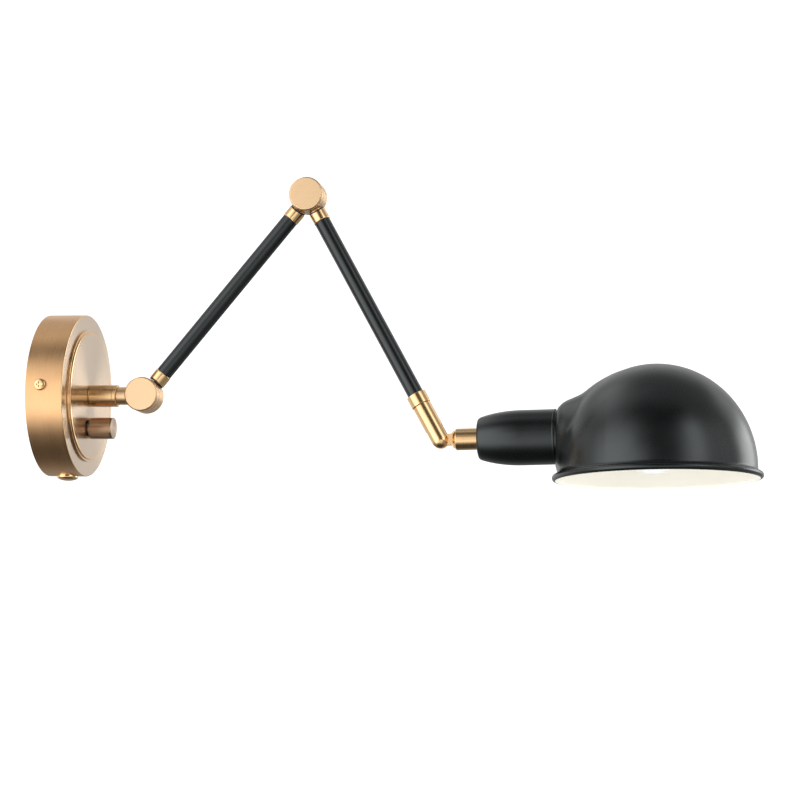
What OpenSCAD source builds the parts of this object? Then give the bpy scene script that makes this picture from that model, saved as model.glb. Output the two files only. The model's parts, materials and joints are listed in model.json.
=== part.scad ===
// Articulating wall light: a round canopy, a stem, two arms on half-lap knuckles, a clevis,
// a bullet-shaped lamp holder and a dome shade, with a knurled dimmer knob on the canopy.
// Millimetres. +X points out from the wall and +Z up; the origin is the centre of the
// canopy's back plane. The arms are drawn in the pose in which the light hangs.

/* [Canopy] */
// Diameter of the canopy
canopy_d = 126; // [115:0.5:150]
// Depth of the canopy from the wall to its front face
canopy_depth = 29.1; // [27:0.1:40]
// Sheet thickness of the canopy
canopy_wall = 1.2; // [0.8:0.1:1.6]
// Radius of the canopy's rounded front edge
canopy_edge_r = 1.3; // [0.5:0.1:3]
// Diameter of the raised face disc
face_disc_d = 102.6; // [90:0.2:110]
// Thickness of the lower step of the face disc
face_step_t = 1.6; // [1:0.1:2.5]
// Thickness of the upper step of the face disc
face_top_t = 1.2; // [0.8:0.1:2]
// Distance of the side screws from the wall
side_screw_x = 12; // [10:0.5:16]
// Head diameter of the side screws
side_screw_head_d = 9; // [7:0.5:10]
// Distance of the outlet plug from the wall
plug_x = 15.7; // [12:0.1:18]
// Diameter of the outlet plug
plug_d = 16.4; // [14:0.1:20]
// Height of the outlet plug's dome below the canopy
plug_h = 3.7; // [2:0.1:6]

/* [Wall bracket] */
// Width of the bracket strap
strap_w = 22; // [18:0.5:26]
// Thickness of the bracket strap
strap_t = 2; // [1.5:0.1:3]
// Distance between the two fixing holes
fixing_spacing = 88; // [70:1:94]
// Diameter of the fixing holes
fixing_hole_d = 4.6; // [4:0.1:5.5]

/* [Stem] */
// Diameter of the stem sleeve
sleeve_d = 17.1; // [16:0.1:20]
// Length of the stem sleeve in front of the face disc
sleeve_len = 22.3; // [16:0.5:30]
// Distance of the shoulder pivot from the wall
stem_reach = 76; // [70:0.1:95]
// Diameter of the neck between sleeve and shoulder
neck_d = 13.9; // [12:0.1:14.4]
// Diameter of the hollow tail that turns in the sleeve
tail_d = 10; // [9:0.1:10.6]

/* [Knuckles] */
// Diameter of the knuckle discs
knuckle_d = 26.6; // [24:0.1:32]
// Thickness of each half-lap disc
lap_t = 6.6; // [6.2:0.1:8]
// Thickness of the pivot cap
cap_t = 6.6; // [4:0.1:9]
// Diameter of the pivot bolt
pivot_d = 7; // [6:0.1:8]
// Edge chamfer of caps and outer disc faces
knuckle_chamfer = 1.4; // [0.4:0.1:1.6]
// Gap between a disc and the coped end of the arm beside it
cope_gap = 0.7; // [0.5:0.05:1.2]

/* [Arms] */
// Outer diameter of the arm tubes
tube_d = 12.4; // [11.6:0.1:12.6]
// Wall of the arm tubes
tube_wall = 0.8; // [0.6:0.05:1]
// Distance from the shoulder pivot to the elbow pivot
arm1_len = 200.2; // [150:1:260]
// Angle of arm 1 above the horizontal
arm1_angle = 51.2; // [30:0.1:70]
// Distance from the elbow pivot to the clevis pivot
arm2_len = 218; // [160:1:280]
// Angle of arm 2 below the horizontal
arm2_angle = 60.3; // [45:0.1:65]
// Diameter of the ferrules
ferrule_d = 13.3; // [13:0.1:13.6]
// Length of the ferrules
ferrule_len = 7.3; // [6:0.1:12]
// Length of black tube that shows between a ferrule and its knuckle
tube_show = 1.3; // [0.8:0.1:2]

/* [Clevis] */
// Diameter of the collar above the clevis
collar_d = 15.3; // [14.8:0.1:16.4]
// Length of the collar
collar_len = 9.5; // [8:0.5:14]
// Diameter of the clevis bar
clevis_d = 14.2; // [13.4:0.1:14.6]
// Distance from the collar to the clevis pivot
clevis_len = 30.5; // [26:0.1:36]
// Depth of the clevis slot above the pivot
slot_depth = 10.1; // [8.4:0.1:12]
// Thickness of the tongue in the slot
tongue_t = 5.3; // [4.6:0.1:6]
// Diameter of the clevis pin
clevis_pin_d = 4.5; // [3.6:0.1:5]

/* [Lamp holder] */
// Distance from the clevis pivot to the barrel
barrel_start = 10; // [9.6:0.1:14]
// Distance from the clevis pivot to the cup
cup_start = 29.4; // [28:0.1:34]
// Diameter of the barrel
barrel_d = 16.5; // [15.5:0.1:18]
// Outer diameter of the cup
cup_d = 41.8; // [41:0.1:44]
// Length of the cup
cup_len = 59.2; // [56:0.1:64]
// Sheet thickness of the cup
cup_wall = 1.4; // [1:0.1:1.8]
// Length of the cup's rounded nose
nose_len = 33; // [28:0.5:40]
// Width of the dark seam between cup and shade
seam_w = 1.8; // [1.2:0.1:3]
// Tilt of the lamp holder above the horizontal
holder_tilt = 1.8; // [0:0.1:8]

/* [Shade] */
// Outer diameter of the shade above its bead
shade_d = 148.8; // [140:0.2:160]
// Height of the dome above its straight band
dome_h = 78.3; // [74:0.1:84]
// Height of the straight band from the bead's centre
band_h = 6.3; // [4:0.1:10]
// Sheet thickness of the shade
shade_wall = 1.3; // [1:0.1:1.8]
// Diameter of the rolled bead
bead_d = 4.8; // [3:0.1:6]
// Height of the holder's axis above the dome's equator
axis_rise = 25.9; // [25:0.1:29]
// Diameter of the side collar behind its rounded edge
boss_d = 55.2; // [53:0.1:57]

/* [Bulb and socket] */
// Diameter of the bulb
bulb_d = 60; // [55:1:62]
// Length of the bulb from its contact to its tip
bulb_len = 110; // [106:1:114]
// Diameter of the bulb's screw cap
bulb_cap_d = 26; // [25:0.1:26.6]
// Outer diameter of the socket body
socket_d = 34; // [32.6:0.1:35]

/* [Dimmer] */
// Diameter of the dimmer knob
knob_d = 16.9; // [14:0.1:20]
// Length of the dimmer knob
knob_len = 18.9; // [14:0.1:26]
// Distance of the dimmer below the stem
knob_drop = 25.4; // [24:0.1:34]
// Number of knurl ridges round the knob
knurl_count = 40; // [24:1:48]

/* [Hidden] */
$fn = 96;
run = 0.05;      // radial running clearance of pins and shafts
slip = 0.15;     // clearance of parts that drop into each other
brass = [0.78, 0.6, 0.36];
polished = [0.86, 0.66, 0.36];
black = [0.06, 0.06, 0.065];
cream = [0.95, 0.93, 0.88];
steel = [0.72, 0.73, 0.75];

canopy_r = canopy_d/2;
disc_x = canopy_depth;
front_x = disc_x + face_step_t + face_top_t;
sleeve_end = front_x + sleeve_len;
plate_back = canopy_depth - canopy_wall;
knuckle_r = knuckle_d/2;
cope_r = knuckle_r + cope_gap;
pivot_r = pivot_d/2;
earth_y = 14;
screw_r = 2;
neck_r = neck_d/2;
tube_r = tube_d/2;
bore_r = tube_r - tube_wall;
spigot_r = bore_r - run;
lead_r = 2.1;
lead_bore_r = lead_r + 0.3;

washer_r = knuckle_r - 2.8;
washer_pocket = 0.5;
nut_r = 7;
nut_t = 3;
pocket_depth = nut_t + 0.2;
spigot_len = 12;
plug_stem_r = 5;
plug_nut_r = 8;
plug_nut_t = 3;
plug_nut_z = sqrt(pow(canopy_r - canopy_wall, 2) - pow(plug_nut_r, 2)) - 0.1;

spigot_d = 14;
sleeve_nut_t = 4;
sleeve_back = plate_back - sleeve_nut_t - 1;
swivel_washer_t = 1;
swivel_nut_t = 5;
tail_end = sleeve_back - swivel_washer_t - swivel_nut_t - 1;

elbow = [stem_reach + arm1_len*cos(arm1_angle), 0, arm1_len*sin(arm1_angle)];
clevis_pivot = elbow + [arm2_len*cos(arm2_angle), 0, -arm2_len*sin(arm2_angle)];

ferrule_start = cope_r + tube_show;
ferrule_end = ferrule_start + ferrule_len;
collar_end = arm2_len - clevis_len;
collar_start = collar_end - collar_len;
collar_web = 2;
arm2_tube_end = collar_end - collar_web;
clevis_tail_r = 3.5;
clevis_nut_len = 4;
clevis_washer_t = 0.8;
clevis_tail_len = collar_web + clevis_washer_t + clevis_nut_len + 1;
clevis_r = clevis_d/2;
clevis_pin_r = clevis_pin_d/2;
pin_blind = 4.8;
pin_head_depth = 1.8;
tongue_eye_r = clevis_r - 1;

barrel_r = barrel_d/2;
barrel_bevel = 2.7;
cup_r = cup_d/2;
cup_end = cup_start + cup_len;
boss_start = cup_end + seam_w;
shade_u = boss_start - 1.4 + shade_d/2;
boss_r = boss_d/2;
boss_lip_r = cup_r + 0.9;
boss_edge_len = 7.6;
boss_slope = 0.37;
boss_run = 7;
boss_wall = 1.6;
boss_inside = boss_start + boss_wall;
fillet_len = 7;
fillet_slope = 0.8;
blend_len = 38;
dome_a = shade_d/2;
bead_r = bead_d/2;
bead_ring_r = dome_a + bead_r - shade_wall/2;
socket_r = socket_d/2;
socket_behind = 25;
socket_ahead = 15.5;
socket_floor_behind = 12;
socket_start = boss_start - socket_behind;
socket_end = boss_start + socket_ahead;
socket_bore_r = bulb_cap_d/2 + 0.9;
socket_floor = boss_start - socket_floor_behind;
ring_len = 6;
ring_hub_w = 1.8;
ring_flange_w = 4.4;
ring_flange_t = 2;
nipple_r = 5;
nipple_start = cup_start - 7;
nipple_nut_t = 4;
cup_floor = cup_start + cup_wall;
bulb_start = socket_floor + 2.4;
bulb_tip = bulb_start + bulb_len;
bulb_r = bulb_d/2;
bulb_u = bulb_tip - bulb_r;
bulb_cap_len = 26;
glass_start = bulb_start + bulb_cap_len;
glass_neck_r = 13;
glass_wall = 1;

dimmer_bush_r = 3.5;
dimmer_shaft_r = 3;
dimmer_nut_t = 2;
knob_r = knob_d/2;
knob_start = front_x + 0.8;
knob_recess = dimmer_nut_t + 0.6;
knurl_depth = 0.45;

// Frames of the moving groups

module at_stem() translate([stem_reach, 0, 0]) children();
module on_arm1() at_stem() rotate([0, -arm1_angle, 0]) children();
module from_elbow() on_arm1() translate([arm1_len, 0, 0]) rotate([0, 0, 180]) children();
module on_arm2() translate(elbow) rotate([0, arm2_angle, 0]) children();
module at_clevis() on_arm2() translate([arm2_len, 0, 0]) children();
module on_holder() translate(clevis_pivot) rotate([0, -holder_tilt, 0]) children();
module at_dimmer() translate([0, 0, -knob_drop]) children();

// Basic solids along X and Y

module bar_x(r, x0, x1) translate([x0, 0, 0]) rotate([0, 90, 0]) cylinder(r = r, h = x1 - x0);
module bar_y(r, y0, y1) translate([0, y0, 0]) rotate([-90, 0, 0]) cylinder(r = r, h = y1 - y0);
module turned_x(points) rotate([0, 90, 0]) rotate_extrude() polygon(points);
module turned_y(points) rotate([-90, 0, 0]) rotate_extrude() polygon(points);
module ring_x(r_out, r_in, x0, x1) difference() {
    bar_x(r_out, x0, x1);
    bar_x(r_in, x0 - 1, x1 + 1);
}
module hex_x(across, x0, x1) translate([x0, 0, 0]) rotate([0, 90, 0])
    cylinder(r = across/sqrt(3), h = x1 - x0, $fn = 6);

// Disc along Y between y0 and y1 with a chamfer at each face
module coin(r, y0, y1, c0, c1) turned_y([
    [0, y0], [r - c0, y0], [r, y0 + c0], [r, y1 - c1], [r - c1, y1], [0, y1]
]);

// Wall side

module wall_bracket() {
    ear_y = canopy_r - canopy_wall - slip;
    ear_w = 14;
    ear_x = side_screw_x + 5;
    slot_half = 4;
    slot_y = fixing_spacing/2 - 14;
    color(steel) difference() {
        union() {
            translate([0, -ear_y + strap_t/2, -strap_w/2])
                cube([strap_t, 2*ear_y - strap_t, strap_w]);
            for (side = [-1, 1]) intersection() {
                difference() {
                    bar_x(ear_y, 0, ear_x);
                    bar_x(ear_y - strap_t, -1, ear_x + 1);
                }
                translate([0, side*ear_y/2 - ear_y/2, -ear_w/2]) cube([ear_x, ear_y, ear_w]);
            }
        }
        for (side = [-1, 1]) {
            translate([0, side*fixing_spacing/2, 0]) bar_x(fixing_hole_d/2, -1, strap_t + 1);
            for (end = [-1, 1]) translate([0, side*slot_y + end*slot_half, 0])
                bar_x(fixing_hole_d/2, -1, strap_t + 1);
            translate([-1, side*slot_y - slot_half, -fixing_hole_d/2])
                cube([strap_t + 2, 2*slot_half, fixing_hole_d]);
        }
        translate([0, earth_y, 0]) bar_x(2, -1, strap_t + 1);
        translate([side_screw_x, 0, 0]) bar_y(screw_r + run, -canopy_r, canopy_r);
    }
}

module earth_screw() color("green") translate([0, earth_y, 0]) difference() {
    union() {
        bar_x(1.95, 0.4, strap_t);
        turned_x([[0, strap_t], [4, strap_t], [4, strap_t + 1.6], [3.2, strap_t + 2.6], [0, strap_t + 2.6]]);
    }
    translate([strap_t + 1.4, -5, -0.5]) cube([2, 10, 1]);
}

module terminal_block() {
    body_y = 13;
    body_z = 20;
    body_x = 10;
    color(cream) translate([strap_t, -7.5 - body_y, -body_z/2]) difference() {
        cube([body_x, body_y, body_z]);
        for (i = [0:2]) translate([0, 0, body_z/6 + i*body_z/3]) {
            translate([body_x/2 - 1, 0, 0]) bar_y(1.7, -1, body_y + 1);
            translate([0, body_y/2, 0]) bar_x(1.5, body_x - 3, body_x + 1);
        }
    }
}

// Canopy with rounded front edge, open at the wall
module canopy() {
    inner_r = canopy_r - canopy_wall;
    inner_edge = max(canopy_edge_r - canopy_wall, 0.05);
    color(brass) difference() {
        turned_x(concat([[0, canopy_depth], [0, 0], [canopy_r, 0]],
            [for (a = [0:15:90]) [canopy_r - canopy_edge_r*(1 - cos(a)),
                canopy_depth - canopy_edge_r*(1 - sin(a))]]));
        turned_x(concat([[0, plate_back], [0, -1], [inner_r, -1]],
            [for (a = [0:30:90]) [inner_r - inner_edge*(1 - cos(a)),
                plate_back - inner_edge*(1 - sin(a))]]));
        bar_x(spigot_d/2 + slip, plate_back - 1, canopy_depth + 1);
        at_dimmer() bar_x(dimmer_bush_r + slip, plate_back - 1, canopy_depth + 1);
        translate([side_screw_x, 0, 0]) bar_y(screw_r + slip, -canopy_r - 1, canopy_r + 1);
        translate([plug_x, 0, -canopy_r - 1]) cylinder(r = plug_stem_r + slip, h = 8);
    }
}

// Raised disc in two turned steps
module face_disc() {
    r = face_disc_d/2;
    step = 1.4;
    bevel = 0.5;
    x1 = disc_x + face_step_t;
    color(polished) difference() {
        turned_x([[0, disc_x], [r, disc_x], [r, x1 - 0.3], [r - 0.3, x1], [r - step, x1],
            [r - step, front_x - bevel], [r - step - bevel, front_x], [0, front_x]]);
        bar_x(spigot_d/2 + slip, disc_x - 1, front_x + 1);
        at_dimmer() bar_x(dimmer_bush_r + slip, disc_x - 1, front_x + 1);
    }
}

module side_screws() color(polished) for (turn = [0, 180]) rotate([turn, 0, 0])
    translate([side_screw_x, 0, 0]) {
        head_r = side_screw_head_d/2;
        head_h = 2.6;
        seat = canopy_r;
        difference() {
            union() {
                bar_y(screw_r, -seat - 0.5, -seat + 9);
                turned_y([[0, -seat], [head_r, -seat], [head_r, -seat - 1], [head_r*0.72, -seat - head_h*0.86],
                    [head_r*0.4, -seat - head_h], [0, -seat - head_h]]);
            }
            for (turn2 = [0, 90]) rotate([0, turn2, 0])
                translate([-2.2, -seat - head_h - 1, -0.45]) cube([4.4, 2.4, 0.9]);
        }
    }

// Domed plug whose underside follows the canopy's curve
module outlet_plug() {
    r = plug_d/2;
    rim_t = 0.9;
    color(polished) translate([plug_x, 0, 0]) union() {
        difference() {
            rotate([180, 0, 0]) rotate_extrude() polygon(concat([[0, canopy_r - 2], [r, canopy_r - 2]],
                [for (a = [0:15:90]) [a == 90 ? 0 : r*cos(a), canopy_r + rim_t + (plug_h - rim_t)*sin(a)]]));
            bar_x(canopy_r + run, -plug_d, plug_d);
        }
        translate([0, 0, -canopy_r - rim_t])
            cylinder(r = plug_stem_r, h = canopy_r + rim_t - plug_nut_z + plug_nut_t + 0.5);
    }
}

module plug_nut() color(steel) translate([plug_x, 0, -plug_nut_z]) difference() {
    cylinder(r = plug_nut_r, h = plug_nut_t, $fn = 6);
    translate([0, 0, -1]) cylinder(r = plug_stem_r + run, h = plug_nut_t + 2);
}

// Stem

module stem_sleeve() {
    r = sleeve_d/2;
    bevel = 0.6;
    color(brass) difference() {
        union() {
            turned_x([[0, front_x], [r - 0.3, front_x], [r, front_x + 0.3], [r, sleeve_end - bevel],
                [r - bevel, sleeve_end], [0, sleeve_end]]);
            bar_x(spigot_d/2, sleeve_back, front_x + 1);
        }
        bar_x(tail_d/2 + run, sleeve_back - 1, sleeve_end + 1);
    }
}

module sleeve_nut() color(steel) difference() {
    hex_x(19, plate_back - sleeve_nut_t, plate_back);
    bar_x(spigot_d/2 + run, plate_back - sleeve_nut_t - 1, plate_back + 1);
}

module swivel_washer() color(steel)
    ring_x(spigot_d/2 + 1, tail_d/2 + run, sleeve_back - swivel_washer_t, sleeve_back);

module swivel_nut() color(polished) difference() {
    hex_x(15, sleeve_back - swivel_washer_t - swivel_nut_t, sleeve_back - swivel_washer_t);
    bar_x(tail_d/2 + run, tail_end - 1, sleeve_back);
}

// Half-lap knuckles

// One half of a knuckle about the pivot at the origin: the disc on one side of the
// parting plane and a shank along +X whose other half is coped round the facing disc
module half_lap(side, shank_r, shank_end) {
    y0 = side < 0 ? -lap_t : 0;
    y1 = side < 0 ? 0 : lap_t;
    outer_c = side < 0 ? 0.3 : knuckle_chamfer;
    inner_c = 0.12;
    difference() {
        union() {
            coin(knuckle_r, y0, y1, side < 0 ? outer_c : inner_c, side < 0 ? inner_c : outer_c);
            difference() {
                bar_x(shank_r, knuckle_r - 4, shank_end);
                bar_y(cope_r, side < 0 ? 0 : -2*lap_t, side < 0 ? 2*lap_t : 0);
            }
        }
        bar_y(pivot_r + run, -2*lap_t, 2*lap_t);
        if (side < 0) bar_y(knuckle_r + run, -2*lap_t, -lap_t);
        bar_y(washer_r + slip, -washer_pocket, washer_pocket);
        bar_x(lead_bore_r, washer_r - 1, shank_end + 1);
        if (side > 0) bar_y(nut_r + slip, lap_t - pocket_depth, lap_t + 1);
    }
}

module pivot_cap() difference() {
    union() {
        coin(knuckle_r, -lap_t - cap_t, -lap_t, knuckle_chamfer, 0.3);
        bar_y(pivot_r, -lap_t - 1, lap_t - 0.6);
    }
}

module friction_washer() difference() {
    bar_y(washer_r, -washer_pocket, washer_pocket);
    bar_y(pivot_r + run, -1, 1);
}

module pivot_nut() difference() {
    bar_y(nut_r, lap_t - pocket_depth, lap_t - pocket_depth + nut_t);
    bar_y(pivot_r + run, 0, lap_t + 1);
    for (side = [-1, 1]) translate([side*(nut_r + pivot_r)/2, 0, 0])
        bar_y(0.9, lap_t - pocket_depth + 1, lap_t + 1);
}

module stem_swivel() {
    neck_len = stem_reach - sleeve_end;
    color(brass) at_stem() rotate([0, 0, 180]) mirror([0, 1, 0]) difference() {
        union() {
            half_lap(-1, neck_r, neck_len - run);
            bar_x(tail_d/2, neck_len - 1, stem_reach - tail_end);
        }
        bar_x(lead_bore_r, washer_r - 1, stem_reach);
    }
}

module stem_lead() color(cream) bar_x(lead_r, tail_end - 4, stem_reach - knuckle_r - 1);

module shoulder_cap() color(brass) at_stem() pivot_cap();
module shoulder_washer() color(black) at_stem() friction_washer();
module shoulder_nut() color(brass) at_stem() pivot_nut();

// Arms

module arm_end_ferrule() difference() {
    turned_x([[tube_r + run, 0], [ferrule_d/2, 0], [ferrule_d/2, ferrule_end - 0.3],
        [ferrule_d/2 - 0.3, ferrule_end], [tube_r + run, ferrule_end]]);
    bar_y(ferrule_start, -2*lap_t, 2*lap_t);
}

module arm1_lower_lap() color(brass) on_arm1() half_lap(1, spigot_r, cope_r + spigot_len);
module arm1_lower_ferrule() color(polished) on_arm1() arm_end_ferrule();
module arm1_tube() color(black) on_arm1() difference() {
    ring_x(tube_r, bore_r, knuckle_r/2, arm1_len - knuckle_r/2);
    bar_y(cope_r, -2*lap_t, 2*lap_t);
    translate([arm1_len, 0, 0]) bar_y(cope_r, -2*lap_t, 2*lap_t);
}
module arm1_upper_ferrule() color(polished) from_elbow() arm_end_ferrule();
module arm1_upper_lap() color(brass) on_arm1() translate([arm1_len, 0, 0]) mirror([1, 0, 0])
    half_lap(1, spigot_r, cope_r + spigot_len);
module arm1_lead() color(cream) on_arm1() bar_x(lead_r, cope_r + 1, arm1_len - cope_r - 1);

module elbow_cap() color(brass) translate(elbow) pivot_cap();
module elbow_washer() color(black) translate(elbow) friction_washer();
module elbow_nut() color(brass) translate(elbow) pivot_nut();

module arm2_upper_lap() color(brass) on_arm2() half_lap(-1, spigot_r, cope_r + spigot_len);
module arm2_upper_ferrule() color(polished) on_arm2() arm_end_ferrule();
module arm2_tube() color(black) on_arm2() difference() {
    ring_x(tube_r, bore_r, knuckle_r/2, arm2_tube_end);
    bar_y(cope_r, -2*lap_t, 2*lap_t);
}
module arm2_collar() color(polished) on_arm2() difference() {
    turned_x([[0, collar_start], [collar_d/2 - 0.4, collar_start], [collar_d/2, collar_start + 0.4],
        [collar_d/2, collar_end - 0.4], [collar_d/2 - 0.4, collar_end], [0, collar_end]]);
    bar_x(tube_r + run, collar_start - 1, arm2_tube_end);
    bar_x(clevis_tail_r + run, collar_start, collar_end + 1);
}
module arm2_lead() color(cream) on_arm2()
    bar_x(lead_r, cope_r + 1, arm2_tube_end - clevis_tail_len + collar_web - 3);

// Clevis

module clevis() color(polished) at_clevis() difference() {
    union() {
        turned_x(concat([[0, -clevis_len + run], [clevis_r - 0.5, -clevis_len + run],
            [clevis_r, -clevis_len + run + 0.5]],
            [for (a = [0:6:90]) [a == 90 ? 0 : clevis_r*cos(a), clevis_r*sin(a)]]));
        bar_x(clevis_tail_r, -clevis_len - clevis_tail_len, -clevis_len + 1);
    }
    slot_half = tongue_t/2 + slip;
    translate([-slot_depth, -slot_half, -2*clevis_r])
        cube([slot_depth + 2*clevis_r, 2*slot_half, 4*clevis_r]);
    bar_y(clevis_pin_r + run, -pin_blind, 2*clevis_r);
    bar_y(clevis_pin_r + 1, clevis_r - pin_head_depth, 2*clevis_r);
    bar_x(lead_bore_r, -clevis_len - clevis_tail_len - 1, -slot_depth + 1);
}

module clevis_washer() color(steel) at_clevis() {
    x1 = -clevis_len - collar_web;
    ring_x(bore_r - 0.3, clevis_tail_r + run, x1 - clevis_washer_t, x1);
}

module clevis_nut() color(steel) at_clevis() {
    x1 = -clevis_len - collar_web - clevis_washer_t;
    ring_x(bore_r - 0.3, clevis_tail_r + run, x1 - clevis_nut_len, x1);
}

// Pin screwed in from the far side, so that the near ear stays plain
module clevis_pin() color(polished) at_clevis() difference() {
    union() {
        bar_y(clevis_pin_r, -pin_blind + 0.1, clevis_r - pin_head_depth + 0.1);
        bar_y(clevis_pin_r + 0.9, clevis_r - pin_head_depth, clevis_r - 0.6);
    }
    translate([-0.4, clevis_r - 1.2, -clevis_pin_r - 1]) cube([0.8, 1.8, 2*clevis_pin_r + 2]);
}

// Lamp holder

// Tongue outline in the XZ plane: round eye, waist, and a concave flare to the barrel
module tongue_outline() {
    waist = 4.3;
    flare_r = 2.6;
    union() {
        circle(r = tongue_eye_r);
        translate([0, -waist]) square([barrel_start + 1, 2*waist]);
        difference() {
            translate([barrel_start - flare_r, -waist - flare_r*0.7])
                square([flare_r + 1, 2*(waist + flare_r*0.7)]);
            for (s = [-1, 1]) translate([barrel_start - flare_r, s*(waist + flare_r)])
                circle(r = flare_r);
        }
    }
}

module holder_tongue() color(polished) on_holder() difference() {
    union() {
        intersection() {
            rotate([90, 0, 0]) linear_extrude(tongue_t, center = true) tongue_outline();
            bar_x(clevis_r + 1, -clevis_r, barrel_start + barrel_bevel);
        }
        turned_x([[0, barrel_start], [barrel_r - barrel_bevel, barrel_start],
            [barrel_r, barrel_start + barrel_bevel],
            [barrel_r, cup_start - 0.3], [barrel_r - 0.3, cup_start], [0, cup_start]]);
    }
    bar_y(clevis_pin_r + run, -tongue_t, tongue_t);
    bar_x(nipple_r + run, nipple_start - 0.5, cup_start + 1);
    bar_x(lead_bore_r, clevis_pin_r + 3, cup_start);
}

// Radius of the cup's nose, an ellipse that is cut flat at the barrel
function nose_r(u, wall) = let (reach = nose_len*1.5)
    (cup_r - wall)*sqrt(1 - pow(max(nose_len - u, 0)/reach, 2));

// Cup with a small rolled lip at its open end
module holder_cup() {
    steps = 12;
    edge = 0.7;
    lip = 1.3;
    lip_rise = 0.25;
    nose = [for (i = [1:steps]) let (u = nose_len*i/steps) [nose_r(u, 0), cup_start + u]];
    inside = [for (i = [0:steps]) let (u = cup_wall + (nose_len - cup_wall)*i/steps)
        [nose_r(u, cup_wall), cup_start + u]];
    color(black) on_holder() difference() {
        turned_x(concat([[0, cup_start], [nose_r(0, 0) - edge, cup_start],
            [nose_r(edge, 0), cup_start + edge]], nose,
            [[cup_r, cup_end - lip - lip_rise], [cup_r + lip_rise, cup_end - lip],
            [cup_r + lip_rise, cup_end - lip_rise], [cup_r, cup_end], [0, cup_end]]));
        turned_x(concat([[0, cup_floor]], inside, [[cup_r - cup_wall, cup_end + 1], [0, cup_end + 1]]));
        bar_x(nipple_r + run, cup_start - 1, cup_floor + 1);
    }
}

module socket_nipple() color(steel) on_holder()
    ring_x(nipple_r, lead_bore_r, nipple_start, socket_start + 6);

module nipple_nut() color(steel) on_holder() difference() {
    hex_x(14, cup_floor, cup_floor + nipple_nut_t);
    bar_x(nipple_r + run, cup_floor - 1, cup_floor + nipple_nut_t + 1);
}

// Recessed ring between cup and shade, with a lip that centres it in the cup
module clamp_ring() color(black) on_holder() {
    inner = socket_r + run;
    lip_r = cup_r - cup_wall - slip;
    seam_r = cup_r - 0.9;
    turned_x([[inner, cup_end - 2.6], [lip_r, cup_end - 2.6], [lip_r, cup_end], [seam_r, cup_end],
        [seam_r, boss_start], [inner, boss_start]]);
}

module socket_body() color(cream) on_holder() difference() {
    turned_x([[0, socket_start], [socket_r - 4, socket_start], [socket_r, socket_start + 4],
        [socket_r, socket_end - 0.8], [socket_r - 0.8, socket_end], [0, socket_end]]);
    bar_x(socket_bore_r, socket_floor, socket_end + 1);
    bar_x(nipple_r + run, socket_start - 1, socket_start + 6);
    bar_x(lead_bore_r, socket_start, socket_floor + 1);
}

module socket_shell() color(polished) on_holder() {
    outer = socket_bore_r - 0.05;
    inner = bulb_cap_d/2 + 0.3;
    ring_x(outer, inner, socket_floor + 4, socket_end - 3);
}

module socket_contact() color(polished) on_holder() difference() {
    bar_x(4, socket_floor, socket_floor + 1.9);
    bar_x(1, socket_floor - 1, socket_floor + 3);
}

// Ring screwed on the socket that clamps the shade's collar from inside
module shade_ring() color(cream) on_holder() {
    inner = socket_r + run;
    hub_r = socket_r + ring_hub_w;
    flange_r = socket_r + ring_flange_w;
    turned_x([[inner, boss_inside], [flange_r, boss_inside], [flange_r, boss_inside + ring_flange_t],
        [hub_r, boss_inside + ring_flange_t + 0.8], [hub_r, boss_inside + ring_len],
        [inner, boss_inside + ring_len]]);
}

// Shade: a spun dome on its own axis and a side collar about the holder's axis. The
// collar rises from a rounded edge, runs out as a cone, turns up in a hollow fillet and
// flows into the crown of the dome

// Point of a quadratic curve, and height of a cubic with given ends and end slopes
function curve(a, b, c, t) = a*pow(1 - t, 2) + 2*b*t*(1 - t) + c*t*t;
function cubic(h0, s0, h1, s1, len, t) = h0*(1 - 3*t*t + 2*t*t*t) + s0*len*t*pow(1 - t, 2)
    + h1*(3*t*t - 2*t*t*t) - s1*len*t*t*(1 - t);

// Height and slope of the dome over the holder's axis in the symmetry plane
function crown(u) = dome_h*sqrt(1 - pow((u - shade_u)/dome_a, 2)) - axis_rise;
function crown_slope(u) = dome_h*(shade_u - u)/pow(dome_a, 2)
    /sqrt(1 - pow((u - shade_u)/dome_a, 2));

// Outline of the side collar as [radius, u] points from its lip to the crown
cone_u = boss_start + boss_edge_len;
fillet_u = cone_u + boss_run;
fillet_r = boss_r + boss_slope*boss_run;
blend_u = fillet_u + fillet_len;
blend_r = fillet_r + fillet_len*(boss_slope + fillet_slope)/2;
blend_end = blend_u + blend_len;
edge_control = [boss_r - boss_slope*boss_edge_len*0.55, boss_start + boss_edge_len*0.45];
collar_line = concat(
    [for (i = [0:6]) curve([boss_lip_r, boss_start], edge_control, [boss_r, cone_u], i/6)],
    [for (i = [0:4]) let (t = i/4) [fillet_r + fillet_len*t*(boss_slope + (fillet_slope - boss_slope)*t/2),
        fillet_u + fillet_len*t]],
    [for (i = [1:10]) let (t = i/10) [cubic(blend_r, fillet_slope, crown(blend_end),
        crown_slope(blend_end), blend_len, t), blend_u + blend_len*t]]);

module collar_form(inset, start) turned_x(concat([[0, start]],
    [for (p = collar_line) [p[0] - inset, max(p[1], start)]], [[0, blend_end]]));

module dome_form(a, b, below) {
    steps = 30;
    translate([shade_u, 0, -axis_rise]) rotate_extrude() polygon(concat([[0, -below], [a, -below]],
        [for (i = [0:steps]) let (t = 90*i/steps) [i == steps ? 0 : a*cos(t), b*sin(t)]]));
}

// Rolled bead and the flare of the sheet that runs into it
module bead_form() translate([shade_u, 0, -axis_rise - band_h]) rotate_extrude() {
    translate([bead_ring_r, 0]) circle(r = bead_r, $fn = 32);
    polygon([[dome_a - shade_wall, 0], [bead_ring_r, 0], [bead_ring_r - bead_r*0.5, bead_r*0.9],
        [dome_a, bead_r*1.7], [dome_a - shade_wall, bead_r*1.7]]);
}

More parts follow.
